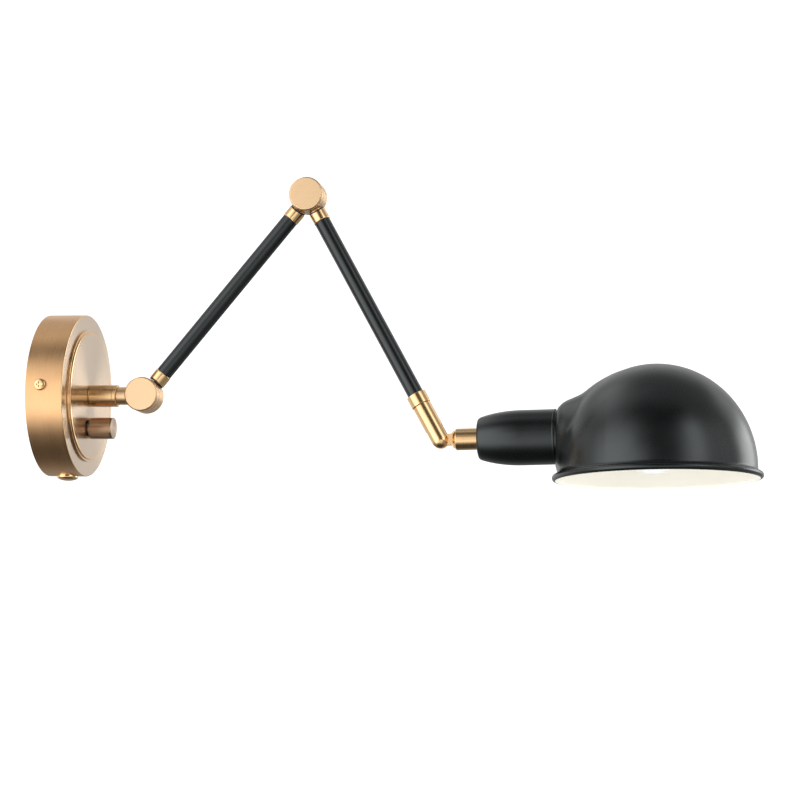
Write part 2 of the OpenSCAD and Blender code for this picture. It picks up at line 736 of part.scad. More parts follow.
module shade() color(black) on_holder() difference() {
    union() {
        difference() {
            union() {
                dome_form(dome_a, dome_h, band_h);
                bead_form();
                intersection() {
                    collar_form(0, boss_start);
                    translate([boss_start - 1, -dome_a, -axis_rise - band_h])
                        cube([dome_a, 2*dome_a, 2*dome_a]);
                }
            }
            dome_form(dome_a - shade_wall, dome_h - shade_wall, band_h + bead_d);
            collar_form(boss_wall, boss_inside);
        }
        intersection() {
            collar_form(0, boss_start);
            bar_x(boss_lip_r + 1, boss_start, boss_inside);
        }
    }
    bar_x(boss_lip_r, boss_start - 5, boss_start);
    bar_x(socket_r + slip, boss_start - 1, boss_inside + 1);
}

// Bulb

// Glass outline at a wall inset: neck, tangent flare and sphere
function glass_outline(inset) = let (
    neck_end = glass_start + 5,
    r = bulb_r - inset,
    neck = glass_neck_r - inset,
    run_x = bulb_u - neck_end,
    dist = sqrt(run_x*run_x + neck*neck),
    slope = asin(r/dist) - atan2(neck, run_x),
    reach = sqrt(dist*dist - r*r),
    touch = [neck + reach*sin(slope), neck_end + reach*cos(slope)],
    first = atan2(touch[0], touch[1] - bulb_u)
) concat([[neck, glass_start], [neck, neck_end]],
    [for (i = [0:18]) let (a = first*(1 - i/18)) [i == 18 ? 0 : r*sin(a), bulb_u + r*cos(a)]]);

module bulb_glass() color("white") on_holder() difference() {
    turned_x(concat([[0, glass_start]], glass_outline(0)));
    turned_x(concat([[0, glass_start - 1], [glass_neck_r - glass_wall, glass_start - 1]],
        glass_outline(glass_wall)));
}

module bulb_cap() {
    r = bulb_cap_d/2;
    x0 = bulb_start;
    color(steel) on_holder() turned_x([[0, x0 - 0.5], [3, x0 - 0.5], [4.5, x0 + 0.4], [6, x0 + 2.5],
        [r - 2, x0 + 4.5], [r - 0.4, x0 + 6], [r, x0 + 8], [r, glass_start], [0, glass_start]]);
}

// Dimmer

module dimmer_body() color("dimgray") at_dimmer() difference() {
    union() {
        bar_x(8.2, plate_back - 10, plate_back);
        bar_x(dimmer_bush_r, plate_back - 1, front_x + dimmer_nut_t + 0.5);
        translate([plate_back - 12, -6, -3]) cube([3, 12, 6]);
    }
    bar_x(dimmer_shaft_r*0.7 + run, plate_back - 8, front_x + 10);
}

module dimmer_nut() color(steel) at_dimmer() difference() {
    hex_x(10, front_x, front_x + dimmer_nut_t);
    bar_x(dimmer_bush_r + run, front_x - 1, front_x + dimmer_nut_t + 1);
}

module dimmer_shaft() color(steel) at_dimmer() {
    bar_x(dimmer_shaft_r*0.7, plate_back - 7.5, front_x + dimmer_nut_t + 1.2);
    bar_x(dimmer_shaft_r, front_x + dimmer_nut_t + 1, knob_start + knob_len - 5);
}

// Knob with a ridged grip between a plain base and a chamfered nose
module dimmer_knob() {
    end = knob_start + knob_len;
    base = 1.6;
    nose = 3.4;
    core_r = knob_r - knurl_depth - 0.25;
    groove = 0.45;
    color(polished) at_dimmer() difference() {
        union() {
            turned_x([[0, knob_start], [knob_r - 0.5, knob_start], [knob_r - 0.2, knob_start + 0.4],
                [knob_r - 0.2, knob_start + base], [core_r, knob_start + base],
                [core_r, end - nose], [knob_r - 0.2, end - nose],
                [knob_r - 0.2, end - 1.4], [knob_r - 1.6, end], [0, end]]);
            translate([knob_start + base + groove, 0, 0]) rotate([0, 90, 0])
                linear_extrude(knob_len - base - nose - 2*groove)
                    polygon([for (i = [0:2*knurl_count - 1])
                        let (a = 180*i/knurl_count, r = knob_r - (i % 2)*knurl_depth)
                        [r*cos(a), r*sin(a)]]);
        }
        bar_x(6.6, knob_start - 1, knob_start + knob_recess);
        bar_x(dimmer_shaft_r + run, knob_start, end - 4.8);
    }
}

wall_bracket();
earth_screw();
terminal_block();
canopy();
face_disc();
side_screws();
outlet_plug();
plug_nut();
stem_sleeve();
sleeve_nut();
stem_swivel();
swivel_washer();
swivel_nut();
stem_lead();
shoulder_cap();
shoulder_washer();
shoulder_nut();
arm1_lower_lap();
arm1_lower_ferrule();
arm1_tube();
arm1_upper_ferrule();
arm1_upper_lap();
arm1_lead();
elbow_cap();
elbow_washer();
elbow_nut();
arm2_upper_lap();
arm2_upper_ferrule();
arm2_tube();
arm2_collar();
arm2_lead();
clevis();
clevis_washer();
clevis_nut();
clevis_pin();
holder_tongue();
holder_cup();
socket_nipple();
nipple_nut();
clamp_ring();
socket_body();
socket_shell();
socket_contact();
shade_ring();
shade();
bulb_glass();
bulb_cap();
dimmer_body();
dimmer_shaft();
dimmer_nut();
dimmer_knob();
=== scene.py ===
"""Visual model of an articulating wall light: brass canopy, black arms and dome shade."""
import json
from math import asin, atan2, cos, degrees, hypot, pi, radians, sin, sqrt

import bpy
from bpy.props import FloatProperty, FloatVectorProperty, IntProperty, PointerProperty
from bpy.types import Operator, Panel, PropertyGroup
from mathutils import Matrix, Vector


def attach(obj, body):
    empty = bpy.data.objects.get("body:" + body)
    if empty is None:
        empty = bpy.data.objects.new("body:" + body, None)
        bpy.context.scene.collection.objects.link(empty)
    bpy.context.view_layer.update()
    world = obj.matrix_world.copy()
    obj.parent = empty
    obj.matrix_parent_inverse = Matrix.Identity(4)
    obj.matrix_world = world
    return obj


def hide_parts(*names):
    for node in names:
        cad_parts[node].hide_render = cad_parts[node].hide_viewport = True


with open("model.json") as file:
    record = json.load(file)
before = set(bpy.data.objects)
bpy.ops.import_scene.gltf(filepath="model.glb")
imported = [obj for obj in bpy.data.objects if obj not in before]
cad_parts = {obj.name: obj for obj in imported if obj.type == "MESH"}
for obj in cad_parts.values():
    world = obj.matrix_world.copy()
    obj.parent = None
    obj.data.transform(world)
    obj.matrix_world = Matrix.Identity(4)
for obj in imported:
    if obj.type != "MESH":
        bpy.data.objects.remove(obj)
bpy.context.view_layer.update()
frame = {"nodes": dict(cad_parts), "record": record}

bl_info = {
    "name": "Articulating wall light",
    "version": (1, 0, 0),
    "blender": (4, 5, 0),
    "location": "View3D > Sidebar > Wall light",
    "description": "Builds the visible pieces, finishes and studio of a wall light",
    "category": "Object",
}

MM = 0.001
MICRON = 0.000001
X_AXIS = Vector((1, 0, 0))
Y_TURN = Matrix.Rotation(pi / 2, 4, "Z")

# Main sizes in millimetres, as the solids have them
CANOPY_R = 63.0
CANOPY_DEPTH = 29.1
CANOPY_WALL = 1.2
HUB_R = 7.2
DISC_R = 51.3
DISC_STEP = 1.6
DISC_TOP = 1.2
FRONT_X = CANOPY_DEPTH + DISC_STEP + DISC_TOP
SCREW_X = 12.0
SCREW_R = 4.5
SCREW_TOP = 2.6
PLUG_X = 15.7
PLUG_R = 8.2
PLUG_DOME = 2.8
SLEEVE_R = 8.55
SLEEVE_END = FRONT_X + 22.3
SLEEVE_BACK = 22.9
SLEEVE_SHANK_R = 7.0
TAIL_R = 5.0
TAIL_BORE_R = 5.05
TAIL_END = SLEEVE_BACK - 7.0
LEAD_R = 2.4
NECK_R = 6.95
KNUCKLE_CHAMFER = 1.4
STEM_REACH = 76.0
KNUCKLE_R = 13.3
LAP_T = 6.6
CAP_T = 6.6
BOLT_R = 3.5
BOLT_BORE_R = 3.55
NUT_R = 7.0
NUT_T = 3.0
NUT_DEPTH = 3.2
WASHER_R = 10.65
WASHER_T = 0.5
SINK = 0.02
COPE_R = KNUCKLE_R + 0.7
TUBE_R = 6.2
TUBE_WALL = 0.8
SPIGOT_R = 5.35
ARM1_LEN = 200.2
ARM1_ANGLE = 51.2
ARM2_LEN = 218.0
ARM2_ANGLE = 60.3
FERRULE_R = 6.65
FERRULE_START = COPE_R + 1.3
FERRULE_END = FERRULE_START + 7.3
FIT = 0.03
COLLAR_R = 7.65
COLLAR_END = ARM2_LEN - 30.5
COLLAR_START = COLLAR_END - 9.5
COLLAR_WEB = 2.0
COLLAR_BORE_R = 3.6
CLEVIS_R = 7.1
CLEVIS_LEN = 30.5
CLEVIS_TAIL_R = 3.5
SLOT_DEPTH = 10.1
PIN_R = 2.25
TONGUE_T = 5.3
TONGUE_WAIST = 4.3
HOLDER_TILT = 1.8
BARREL_START = 10.0
BARREL_R = 8.25
BARREL_BEVEL = 2.7
CUP_START = 29.4
NIPPLE_BORE_R = 5.05
CUP_R = 20.9
CUP_LEN = 59.2
CUP_END = CUP_START + CUP_LEN
CUP_WALL = 1.4
NOSE_LEN = 33.0
BOSS_START = CUP_END + 1.8
BOSS_LIP_R = CUP_R + 0.9
SHADE_R = 74.4
SHADE_U = BOSS_START - 1.4 + SHADE_R
DOME_H = 78.3
BAND_H = 6.3
SHADE_WALL = 1.3
BEAD_R = 2.4
BEAD_RING_R = SHADE_R + BEAD_R - SHADE_WALL / 2
AXIS_RISE = 25.9
BOSS_R = 27.6
BOSS_EDGE_LEN = 7.6
BOSS_SLOPE = 0.37
BOSS_RUN = 7.0
FILLET_LEN = 7.0
FILLET_SLOPE = 0.8
BLEND_LEN = 38.0
SOCKET_R = 17.0
BULB_R = 30.0
BULB_U = 160.8
BULB_NECK_R = 13.0
GLASS_START = BOSS_START - 12 + 2.4 + 26
KNOB_R = 8.45
KNOB_LEN = 18.9
KNOB_HOLLOW_R = 6.6
KNOB_START = FRONT_X + 0.8
KNOB_DROP = 25.4

# Sizes of the visible detail in millimetres
CANOPY_EDGE = 0.7
RIM_LEDGE = 1.8
RIM_WIDTH = 3.4
RIM_DROP = 0.3
RING_DEPTH = 0.4
UNDERCUT = 0.8
RECESS_HALF = 0.6
CAP_CHAMFER = 0.9
LIP_RISE = 0.25
BEAD_TOP = 4.9
# The part of the shade that is smoothed: from and to in front of the collar's mouth, above the rim
SMOOTH_FROM = 3.5
SMOOTH_TO = 40.0
SMOOTH_ABOVE = 3.0
# The knurled band of the dimmer knob, and its rows of points
GRIP_START = KNOB_START + 1.2
GRIP_END = KNOB_START + KNOB_LEN - 1.5
GRIP_ROWS = 28
ROWS_A_DIAMOND = 4

# A face of the disc whose normal has less of X than this belongs to the disc's edge
FLAT_NORMAL = 0.995


def turn_about_y(angle):
    """Rotation that lifts the X axis by an angle in degrees towards +Z."""
    return Matrix.Rotation(-radians(angle), 4, "Y")


def along(millimetres):
    """Shift along X."""
    return Matrix.Translation((millimetres * MM, 0, 0))


WALL = Matrix.Identity(4)
STEM = along(STEM_REACH)
ARM1 = STEM @ turn_about_y(ARM1_ANGLE)
ELBOW = ARM1 @ along(ARM1_LEN)
ARM1_BACK = ELBOW @ Matrix.Rotation(pi, 4, "Y")
ARM2 = Matrix.Translation(ELBOW.translation) @ turn_about_y(-ARM2_ANGLE)
CLEVIS = ARM2 @ along(ARM2_LEN)
HOLDER = Matrix.Translation(CLEVIS.translation) @ turn_about_y(HOLDER_TILT)
DIMMER = Matrix.Translation((0, 0, -KNOB_DROP * MM))
SHADE_AXIS = HOLDER @ Matrix.Translation((SHADE_U * MM, 0, -AXIS_RISE * MM))


# Finishes


class Nodes:
    """A tree whose nodes are made and joined by short calls."""

    def __init__(self, tree):
        self.tree = tree

    def node(self, kind, inputs=None, **settings):
        node = self.tree.nodes.new(kind)
        for key, value in settings.items():
            setattr(node, key, value)
        for key, value in (inputs or {}).items():
            if isinstance(value, bpy.types.NodeSocket):
                self.tree.links.new(value, node.inputs[key])
            else:
                node.inputs[key].default_value = value
        return node

    def math(self, operation, a, b=0.0):
        return self.node("ShaderNodeMath", {0: a, 1: b}, operation=operation).outputs[0]

    def split(self, vector):
        return self.node("ShaderNodeSeparateXYZ", {"Vector": vector}).outputs


class Finish(Nodes):
    """One material, with its shader and the noises that vary it."""

    made = {}

    def __init__(self, name, **sockets):
        self.material = bpy.data.materials.new(name)
        self.material.use_nodes = True
        super().__init__(self.material.node_tree)
        self.shader = self.tree.nodes["Principled BSDF"]
        for socket, value in sockets.items():
            self.shader.inputs[socket.replace("_", " ")].default_value = value
        Finish.made[name] = self.material

    def feed(self, socket, output):
        self.tree.links.new(output, self.shader.inputs[socket])

    def coordinates(self, place=None):
        """Object coordinates, turned and centred so that X runs along the place's axis."""
        point = self.node("ShaderNodeTexCoord").outputs["Object"]
        if place is None:
            return point
        inverse = place.inverted()
        mapping = self.node("ShaderNodeMapping", {"Vector": point})
        mapping.inputs["Location"].default_value = inverse.translation
        mapping.inputs["Rotation"].default_value = inverse.to_euler()
        return mapping.outputs["Vector"]

    def noise(self, vector, scale, detail=3.0, roughness=0.5):
        return self.node(
            "ShaderNodeTexNoise",
            {"Vector": vector, "Scale": scale, "Detail": detail, "Roughness": roughness},
        ).outputs["Fac"]

    def spread(self, value, low, high, start=0.3, end=0.7):
        """Maps a noise value from start..end to low..high."""
        return self.node(
            "ShaderNodeMapRange",
            {"Value": value, "From Min": start, "From Max": end, "To Min": low, "To Max": high},
        ).outputs["Result"]

    def tint(self, value, dark, light):
        mix = self.node("ShaderNodeMix", {"Factor": value}, data_type="RGBA")
        mix.inputs[6].default_value = (*dark, 1)
        mix.inputs[7].default_value = (*light, 1)
        return mix.outputs[2]

    def mottle(self, value, colour, dark, light):
        """Lets the base colour wander with a noise between two shades of the colour."""
        shades = shade_of(colour, dark), shade_of(colour, light)
        self.feed("Base Color", self.tint(self.spread(value, 0, 1), *shades))

    def gloss(self, value, roughness, low, high, start=0.3, end=0.7):
        """Lets the roughness wander with a noise between two shares of its mean."""
        self.feed("Roughness", self.spread(value, roughness * low, roughness * high, start, end))

    def bump(self, height, microns):
        node = self.node("ShaderNodeBump", {"Height": height, "Distance": microns * MICRON})
        self.feed("Normal", node.outputs["Normal"])


def shade_of(colour, factor):
    return tuple(min(1.0, channel * factor) for channel in colour)


def turned_grain(finish, place, across, around):
    """Noise in fine lines that run round the place's X axis, on its barrel and on its faces."""
    x, y, z = finish.split(finish.coordinates(place))
    squares = [finish.math("MULTIPLY", side, side) for side in (y, z)]
    radius = finish.math("SQRT", finish.math("ADD", *squares))
    slow = finish.math("MULTIPLY", finish.math("ADD", y, finish.math("MULTIPLY", z, 0.7)), around)
    lines = finish.node(
        "ShaderNodeCombineXYZ",
        {0: finish.math("MULTIPLY", x, across), 1: finish.math("MULTIPLY", radius, across), 2: slow},
    )
    return finish.noise(lines.outputs["Vector"], 1.0, detail=4.0, roughness=0.65)


def turned_brass(
    name, place, colour, roughness, microns, lines=5200.0, aniso=0.55, coat=0.0, streak=0.14
):
    """Brass with fine turning lines some microns deep, under a clear lacquer if coated."""
    finish = Finish(name, Metallic=1.0, Anisotropic=aniso, Coat_Weight=coat, Coat_Roughness=0.03)
    grain = turned_grain(finish, place, lines, 60.0)
    cloud = finish.noise(finish.coordinates(), 55.0, detail=4.0)
    tone = finish.math("ADD", finish.math("MULTIPLY", grain, 0.6), finish.math("MULTIPLY", cloud, 0.4))
    finish.mottle(tone, colour, 1 - streak / 2, 1 + streak / 3)
    finish.gloss(grain, roughness, 1 - streak, 1 + streak)
    finish.bump(grain, microns)
    finish.shader.inputs["Anisotropic Rotation"].default_value = 0.25
    tangent = finish.node("ShaderNodeTangent", direction_type="RADIAL", axis="X")
    finish.feed("Tangent", tangent.outputs["Tangent"])


def knurled_brass_groove_shaded(name, place, colour, roughness, knurls):
    """Brass whose knurl has painted shade down in its grooves, with paler ridges and rougher grooves."""
    finish = Finish(name, Metallic=1.0)
    x, y, z = finish.split(finish.coordinates(place))
    diamond = (GRIP_END - GRIP_START) * MM * ROWS_A_DIAMOND / GRIP_ROWS
    round_part = finish.math("MULTIPLY", finish.math("ARCTAN2", z, y), knurls / (2 * pi))
    along_part = finish.math("MULTIPLY", finish.math("SUBTRACT", x, GRIP_START * MM), 1 / diamond)
    ridges = [
        finish.math("PINGPONG", finish.math(way, along_part, round_part), 0.5)
        for way in ("ADD", "SUBTRACT")
    ]
    height = finish.math("MINIMUM", *ridges)
    cloud = finish.noise(finish.coordinates(), 160.0, detail=4.0)
    # Painted shade: the base colour darkens to 0.22 of the brass down in the grooves, standing in for the
    # shade there
    rise = finish.spread(height, 0, 0.85, 0.04, 0.26)
    tone = finish.math("ADD", rise, finish.math("MULTIPLY", cloud, 0.15))
    finish.feed("Base Color", finish.tint(tone, shade_of(colour, 0.22), colour))
    finish.gloss(height, roughness, 1.6, 1, 0.05, 0.4)


def polished_brass(name, place, colour, roughness):
    """Bright lacquered brass with faint polishing lines and a little cloud in its gloss."""
    finish = Finish(name, Metallic=1.0)
    grain = turned_grain(finish, place, 2600.0, 40.0)
    cloud = finish.noise(finish.coordinates(), 130.0, detail=5.0)
    finish.mottle(cloud, colour, 0.95, 1.04)
    finish.gloss(grain, roughness, 0.85, 1.25)
    finish.bump(grain, 0.15)


def satin_brass(name, colour, roughness):
    """Fine blasted and lacquered brass, as on the knuckles' faces."""
    finish = Finish(name, Metallic=1.0)
    point = finish.coordinates()
    fine = finish.noise(point, 4200.0, detail=2.0)
    strokes = finish.node("ShaderNodeMapping", {"Vector": point})
    strokes.inputs["Scale"].default_value = (0.06, 1.0, 1.0)
    cloud = finish.noise(strokes.outputs["Vector"], 1900.0, detail=3.0, roughness=0.65)
    finish.mottle(cloud, colour, 0.94, 1.04)
    finish.gloss(cloud, roughness, 0.9, 1.15)
    finish.bump(fine, 0.4)


def black_lacquer(name, colour, roughness):
    """Satin black stoved lacquer: faint orange peel and uneven gloss."""
    finish = Finish(name, Specular_IOR_Level=0.68)
    finish.shader.inputs["Specular Tint"].default_value = (0.93, 1.0, 1.0, 1)
    point = finish.coordinates()
    peel = finish.noise(point, 1500.0, detail=2.0)
    cloud = finish.noise(point, 38.0, detail=5.0, roughness=0.6)
    finish.mottle(cloud, colour, 0.8, 1.25)
    finish.gloss(cloud, roughness, 0.88, 1.14)
    finish.bump(peel, 3.5)


def enamel(name, colour, roughness):
    """Cream enamel inside the shade."""
    finish = Finish(name, Specular_IOR_Level=0.4)
    point = finish.coordinates()
    peel = finish.noise(point, 1200.0, detail=2.0)
    cloud = finish.noise(point, 30.0, detail=4.0)
    finish.mottle(cloud, colour, 0.97, 1.02)
    finish.gloss(cloud, roughness, 0.9, 1.1)
    finish.bump(peel, 4)


def plated_steel(name, colour, roughness):
    """Zinc or nickel plate with a soft spangle in its gloss and a faint cloud."""
    finish = Finish(name, Metallic=1.0)
    point = finish.coordinates()
    spangle = finish.node("ShaderNodeTexVoronoi", {"Vector": point, "Scale": 420.0}).outputs["Distance"]
    cloud = finish.noise(point, 160.0, detail=5.0)
    finish.mottle(cloud, colour, 0.85, 1.08)
    finish.gloss(spangle, roughness, 0.85, 1.3, 0.0, 0.9)
    finish.bump(cloud, 10)


def moulded(name, colour, roughness):
    """Moulded plastic or glazed ware with a faint grain."""
    finish = Finish(name)
    point = finish.coordinates()
    grain = finish.noise(point, 2400.0, detail=2.0)
    cloud = finish.noise(point, 70.0, detail=4.0)
    finish.mottle(cloud, colour, 0.92, 1.05)
    finish.gloss(grain, roughness, 0.9, 1.1)
    finish.bump(grain, 10)


def opal_glass(name, colour):
    """White frosted glass that lets a little light into its skin."""
    finish = Finish(name, Subsurface_Weight=0.4, Subsurface_Scale=0.004)
    finish.shader.inputs["Subsurface Radius"].default_value = (1.0, 0.9, 0.75)
    point = finish.coordinates()
    cloud = finish.noise(point, 80.0, detail=4.0)
    frost = finish.noise(point, 3000.0, detail=2.0)
    finish.mottle(cloud, colour, 0.97, 1.02)
    finish.feed("Roughness", finish.spread(frost, 0.3, 0.42))
    finish.bump(frost, 6)


# Modelling


def pick_none():
    """Object mode with nothing selected."""
    if bpy.context.mode != "OBJECT":
        bpy.ops.object.mode_set(mode="OBJECT")
    bpy.ops.object.select_all(action="DESELECT")


def pick(piece):
    """Object mode with only this piece selected and active."""
    pick_none()
    piece.select_set(True)
    bpy.context.view_layer.objects.active = piece


def wire(name, points):
    """A new piece, left in edit mode, that is a chain of edges through the points."""
    pick_none()
    bpy.ops.mesh.primitive_plane_add(size=MM)
    piece = bpy.context.object
    piece.name = name
    bpy.ops.object.mode_set(mode="EDIT")
    bpy.ops.mesh.merge(type="CENTER")
    bpy.ops.transform.translate(value=points[0])
    for before, after in zip(points, points[1:]):
        bpy.ops.mesh.extrude_vertices_move(TRANSFORM_OT_translate={"value": after - before})
    bpy.ops.mesh.select_all(action="SELECT")
    return piece


def turned(name, place, outline, steps=96, closed=False):
    """A piece turned about the place's X axis from an outline of (along, radius) points in mm."""
    points = [place @ Vector((u * MM, 0, r * MM)) for u, r in outline]
    if closed:
        points.append(points[0])
    piece = wire(name, points)
    bpy.ops.mesh.spin(
        steps=steps, angle=2 * pi, center=place.translation, axis=place.to_3x3() @ X_AXIS
    )
    bpy.ops.mesh.select_all(action="SELECT")
    bpy.ops.mesh.remove_doubles(threshold=2 * MICRON)
    bpy.ops.mesh.normals_make_consistent(inside=False)
    bpy.ops.object.mode_set(mode="OBJECT")
    return piece


def apply_modifier(piece, kind, **settings):
    """Adds a modifier with its settings and applies it."""
    pick(piece)
    modifier = piece.modifiers.new(kind.title(), kind)
    for key, value in settings.items():
        setattr(modifier, key, value)
    bpy.ops.object.modifier_apply(modifier=modifier.name)


def ease_edges(piece, width, segments=3, angle=32):
    """Rounds the piece's hard edges by a small bevel in mm."""
    apply_modifier(
        piece,
        "BEVEL",
        width=width * MM,
        segments=segments,
        limit_method="ANGLE",
        angle_limit=radians(angle),
    )


def cut_away(piece, cutter, operation="DIFFERENCE"):
    """Takes the cutter's volume out of the piece."""
    apply_modifier(piece, "BOOLEAN", object=cutter, operation=operation, solver="EXACT")
    bpy.data.objects.remove(cutter)


def join_on(piece, other):
    """Adds the other's volume to the piece."""
    cut_away(piece, other, "UNION")


def cutting_rod(place, radius, start, end, axis="X", segments=96):
    """A rod along the place's X or Y axis between two stations in mm, to cut with or join on."""
    pick_none()
    bpy.ops.mesh.primitive_cylinder_add(
        vertices=segments, radius=radius * MM, depth=(end - start) * MM
    )
    rod = bpy.context.object
    lie = Matrix.Rotation(pi / 2, 4, "Y") if axis == "X" else Matrix.Rotation(-pi / 2, 4, "X")
    middle = Matrix.Translation((0, 0, (start + end) / 2 * MM))
    rod.data.transform(place @ lie @ middle)
    return rod


def cutting_box(place, low, high):
    """A block between two corners in mm in the place's frame, used as a cutter."""
    pick_none()
    bpy.ops.mesh.primitive_cube_add(size=1.0)
    block = bpy.context.object
    size = [b - a for a, b in zip(low, high)]
    centre = [(a + b) / 2 for a, b in zip(low, high)]
    scale = Matrix.Diagonal((*[s * MM for s in size], 1))
    block.data.transform(place @ Matrix.Translation([c * MM for c in centre]) @ scale)
    return block


def plate(name, place, outline, low, high):
    """A plate cut to an outline of (x, z) points in mm, between two stations along Y."""
    piece = wire(name, [place @ Vector((x * MM, low * MM, z * MM)) for x, z in outline])
    bpy.ops.mesh.edge_face_add()
    bpy.ops.mesh.select_all(action="SELECT")
    across = place.to_3x3() @ Vector((0, (high - low) * MM, 0))
    bpy.ops.mesh.extrude_region_move(TRANSFORM_OT_translate={"value": across})
    bpy.ops.mesh.select_all(action="SELECT")
    bpy.ops.mesh.normals_make_consistent(inside=False)
    bpy.ops.object.mode_set(mode="OBJECT")
    return piece


def finished(piece, body, materials, nodes=(), angle=38):
    """Smooths a piece, gives it its finishes and body, and hides the solids it stands for."""
    pick(piece)
    bpy.ops.object.transform_apply(location=True, rotation=True, scale=True)
    bpy.ops.object.shade_smooth_by_angle(angle=radians(angle))
    apply_modifier(piece, "WEIGHTED_NORMAL", mode="FACE_AREA_WITH_ANGLE", weight=90, keep_sharp=True)
    for material in materials:
        piece.data.materials.append(Finish.made[material])
    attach(piece, body)
    if nodes:
        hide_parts(*nodes)


def arc(centre, radius, start, end, steps):
    """Points of a circular arc in an outline, angles in degrees from the along axis."""
    u, r = centre
    turn = [radians(start + (end - start) * i / steps) for i in range(steps + 1)]
    return [(u + radius * cos(t), r + radius * sin(t)) for t in turn]


# Properties


class WallLightSizes(PropertyGroup):
    """Sizes of the visible detail"""

    knurls: IntProperty(
        name="Knurls", description="Diamonds round the dimmer knob", default=22, min=12, max=60
    )
    knurl_depth: FloatProperty(
        name="Knurl depth", description="Height of the knurl's diamonds",
        default=0.0005, min=0.0001, max=0.0008, precision=5, subtype="DISTANCE", unit="LENGTH",
    )
    seam_softness: FloatProperty(
        name="Seam softness", description="Width of the hollow where the collar meets the dome",
        default=0.006, min=0.001, max=0.012, precision=4, subtype="DISTANCE", unit="LENGTH",
    )
    floor_drop: FloatProperty(
        name="Floor drop", description="Height of the light above the studio floor",
        default=2.1, min=0.5, max=3.0, subtype="DISTANCE", unit="LENGTH",
    )


def colour_property(name, description, default):
    return FloatVectorProperty(
        name=name, description=description, default=default, min=0, max=1, size=3, subtype="COLOR"
    )


class WallLightColours(PropertyGroup):
    """Colours of the finishes"""

    brushed: colour_property("Brushed brass", "Canopy, sleeve and neck", (0.80, 0.48, 0.24))
    polished: colour_property("Polished brass", "Edges, ferrules and clevis", (0.87, 0.575, 0.295))
    satin: colour_property("Satin brass", "Knuckles and caps", (0.90, 0.62, 0.365))
    disc: colour_property("Disc brass", "Face disc and canopy front", (0.72, 0.535, 0.36))
    knob: colour_property("Knob brass", "Knurled grip", (0.96, 0.62, 0.37))
    knob_face: colour_property("Knob face", "End face of the knob", (0.46, 0.35, 0.25))
    black: colour_property("Black lacquer", "Arms, cup and shade", (0.0012, 0.0015, 0.0017))
    cream: colour_property("Cream enamel", "Inside of the shade", (0.97, 0.945, 0.86))


# Operators


class WALLLIGHT_OT_finishes(Operator):
    """Make the finishes and give them to the solids that stay"""

    bl_idname = "wall_light.finishes"
    bl_label = "Finishes"

    def execute(self, context):
        colours = context.scene.wall_light_colours
        sleeve = shade_of(colours.polished, 0.98)
        knurls = context.scene.wall_light_sizes.knurls
        turned_brass(
            "brushed brass", WALL, colours.brushed, 0.33, 0.7, lines=2400.0, aniso=0.3, streak=0.22,
        )
        turned_brass("disc brass", WALL, colours.disc, 0.2, 0.1, aniso=0.95, coat=0.8, streak=0.06)
        turned_brass("sleeve brass", WALL, sleeve, 0.26, 0.1, aniso=0.2, streak=0.06)
        turned_brass("knob face", DIMMER, colours.knob_face, 0.3, 0.2)
        knurled_brass_groove_shaded("knob brass", DIMMER, colours.knob, 0.1, knurls)
        for name, place, roughness in (
            ("bright brass", WALL, 0.09), ("edge brass", WALL, 0.12), ("polished brass", WALL, 0.16),
            ("arm 1 brass", ARM1, 0.15), ("arm 2 brass", ARM2, 0.17), ("holder brass", HOLDER, 0.2),
        ):
            polished_brass(name, place, colours.polished, roughness)
        satin_brass("satin brass", colours.satin, 0.34)
        black_lacquer("black lacquer", colours.black, 0.275)
        enamel("cream enamel", colours.cream, 0.4)
        plated_steel("zinc plate", (0.60, 0.61, 0.63), 0.32)
        moulded("white sheath", (0.80, 0.78, 0.72), 0.45)
        moulded("black nylon", (0.03, 0.03, 0.032), 0.5)
        moulded("porcelain", (0.84, 0.83, 0.80), 0.18)
        opal_glass("opal glass", (0.93, 0.92, 0.89))
        plain = {
            "brushed_brass": "brushed brass", "polished_brass": "polished brass",
            "satin_brass": "satin brass", "black_satin": "black lacquer", "zinc_steel": "zinc plate",
            "white_plastic": "white sheath", "black_plastic": "black nylon", "porcelain": "porcelain",
            "opal_glass": "opal glass",
        }
        for part in frame["record"]["subparts"]:
            node = frame["nodes"][part["node"]]
            material = Finish.made[plain[part["material_slot"]]]
            if not node.material_slots:
                node.data.materials.append(material)
            for slot in node.material_slots:
                slot.material = material
        return {"FINISHED"}


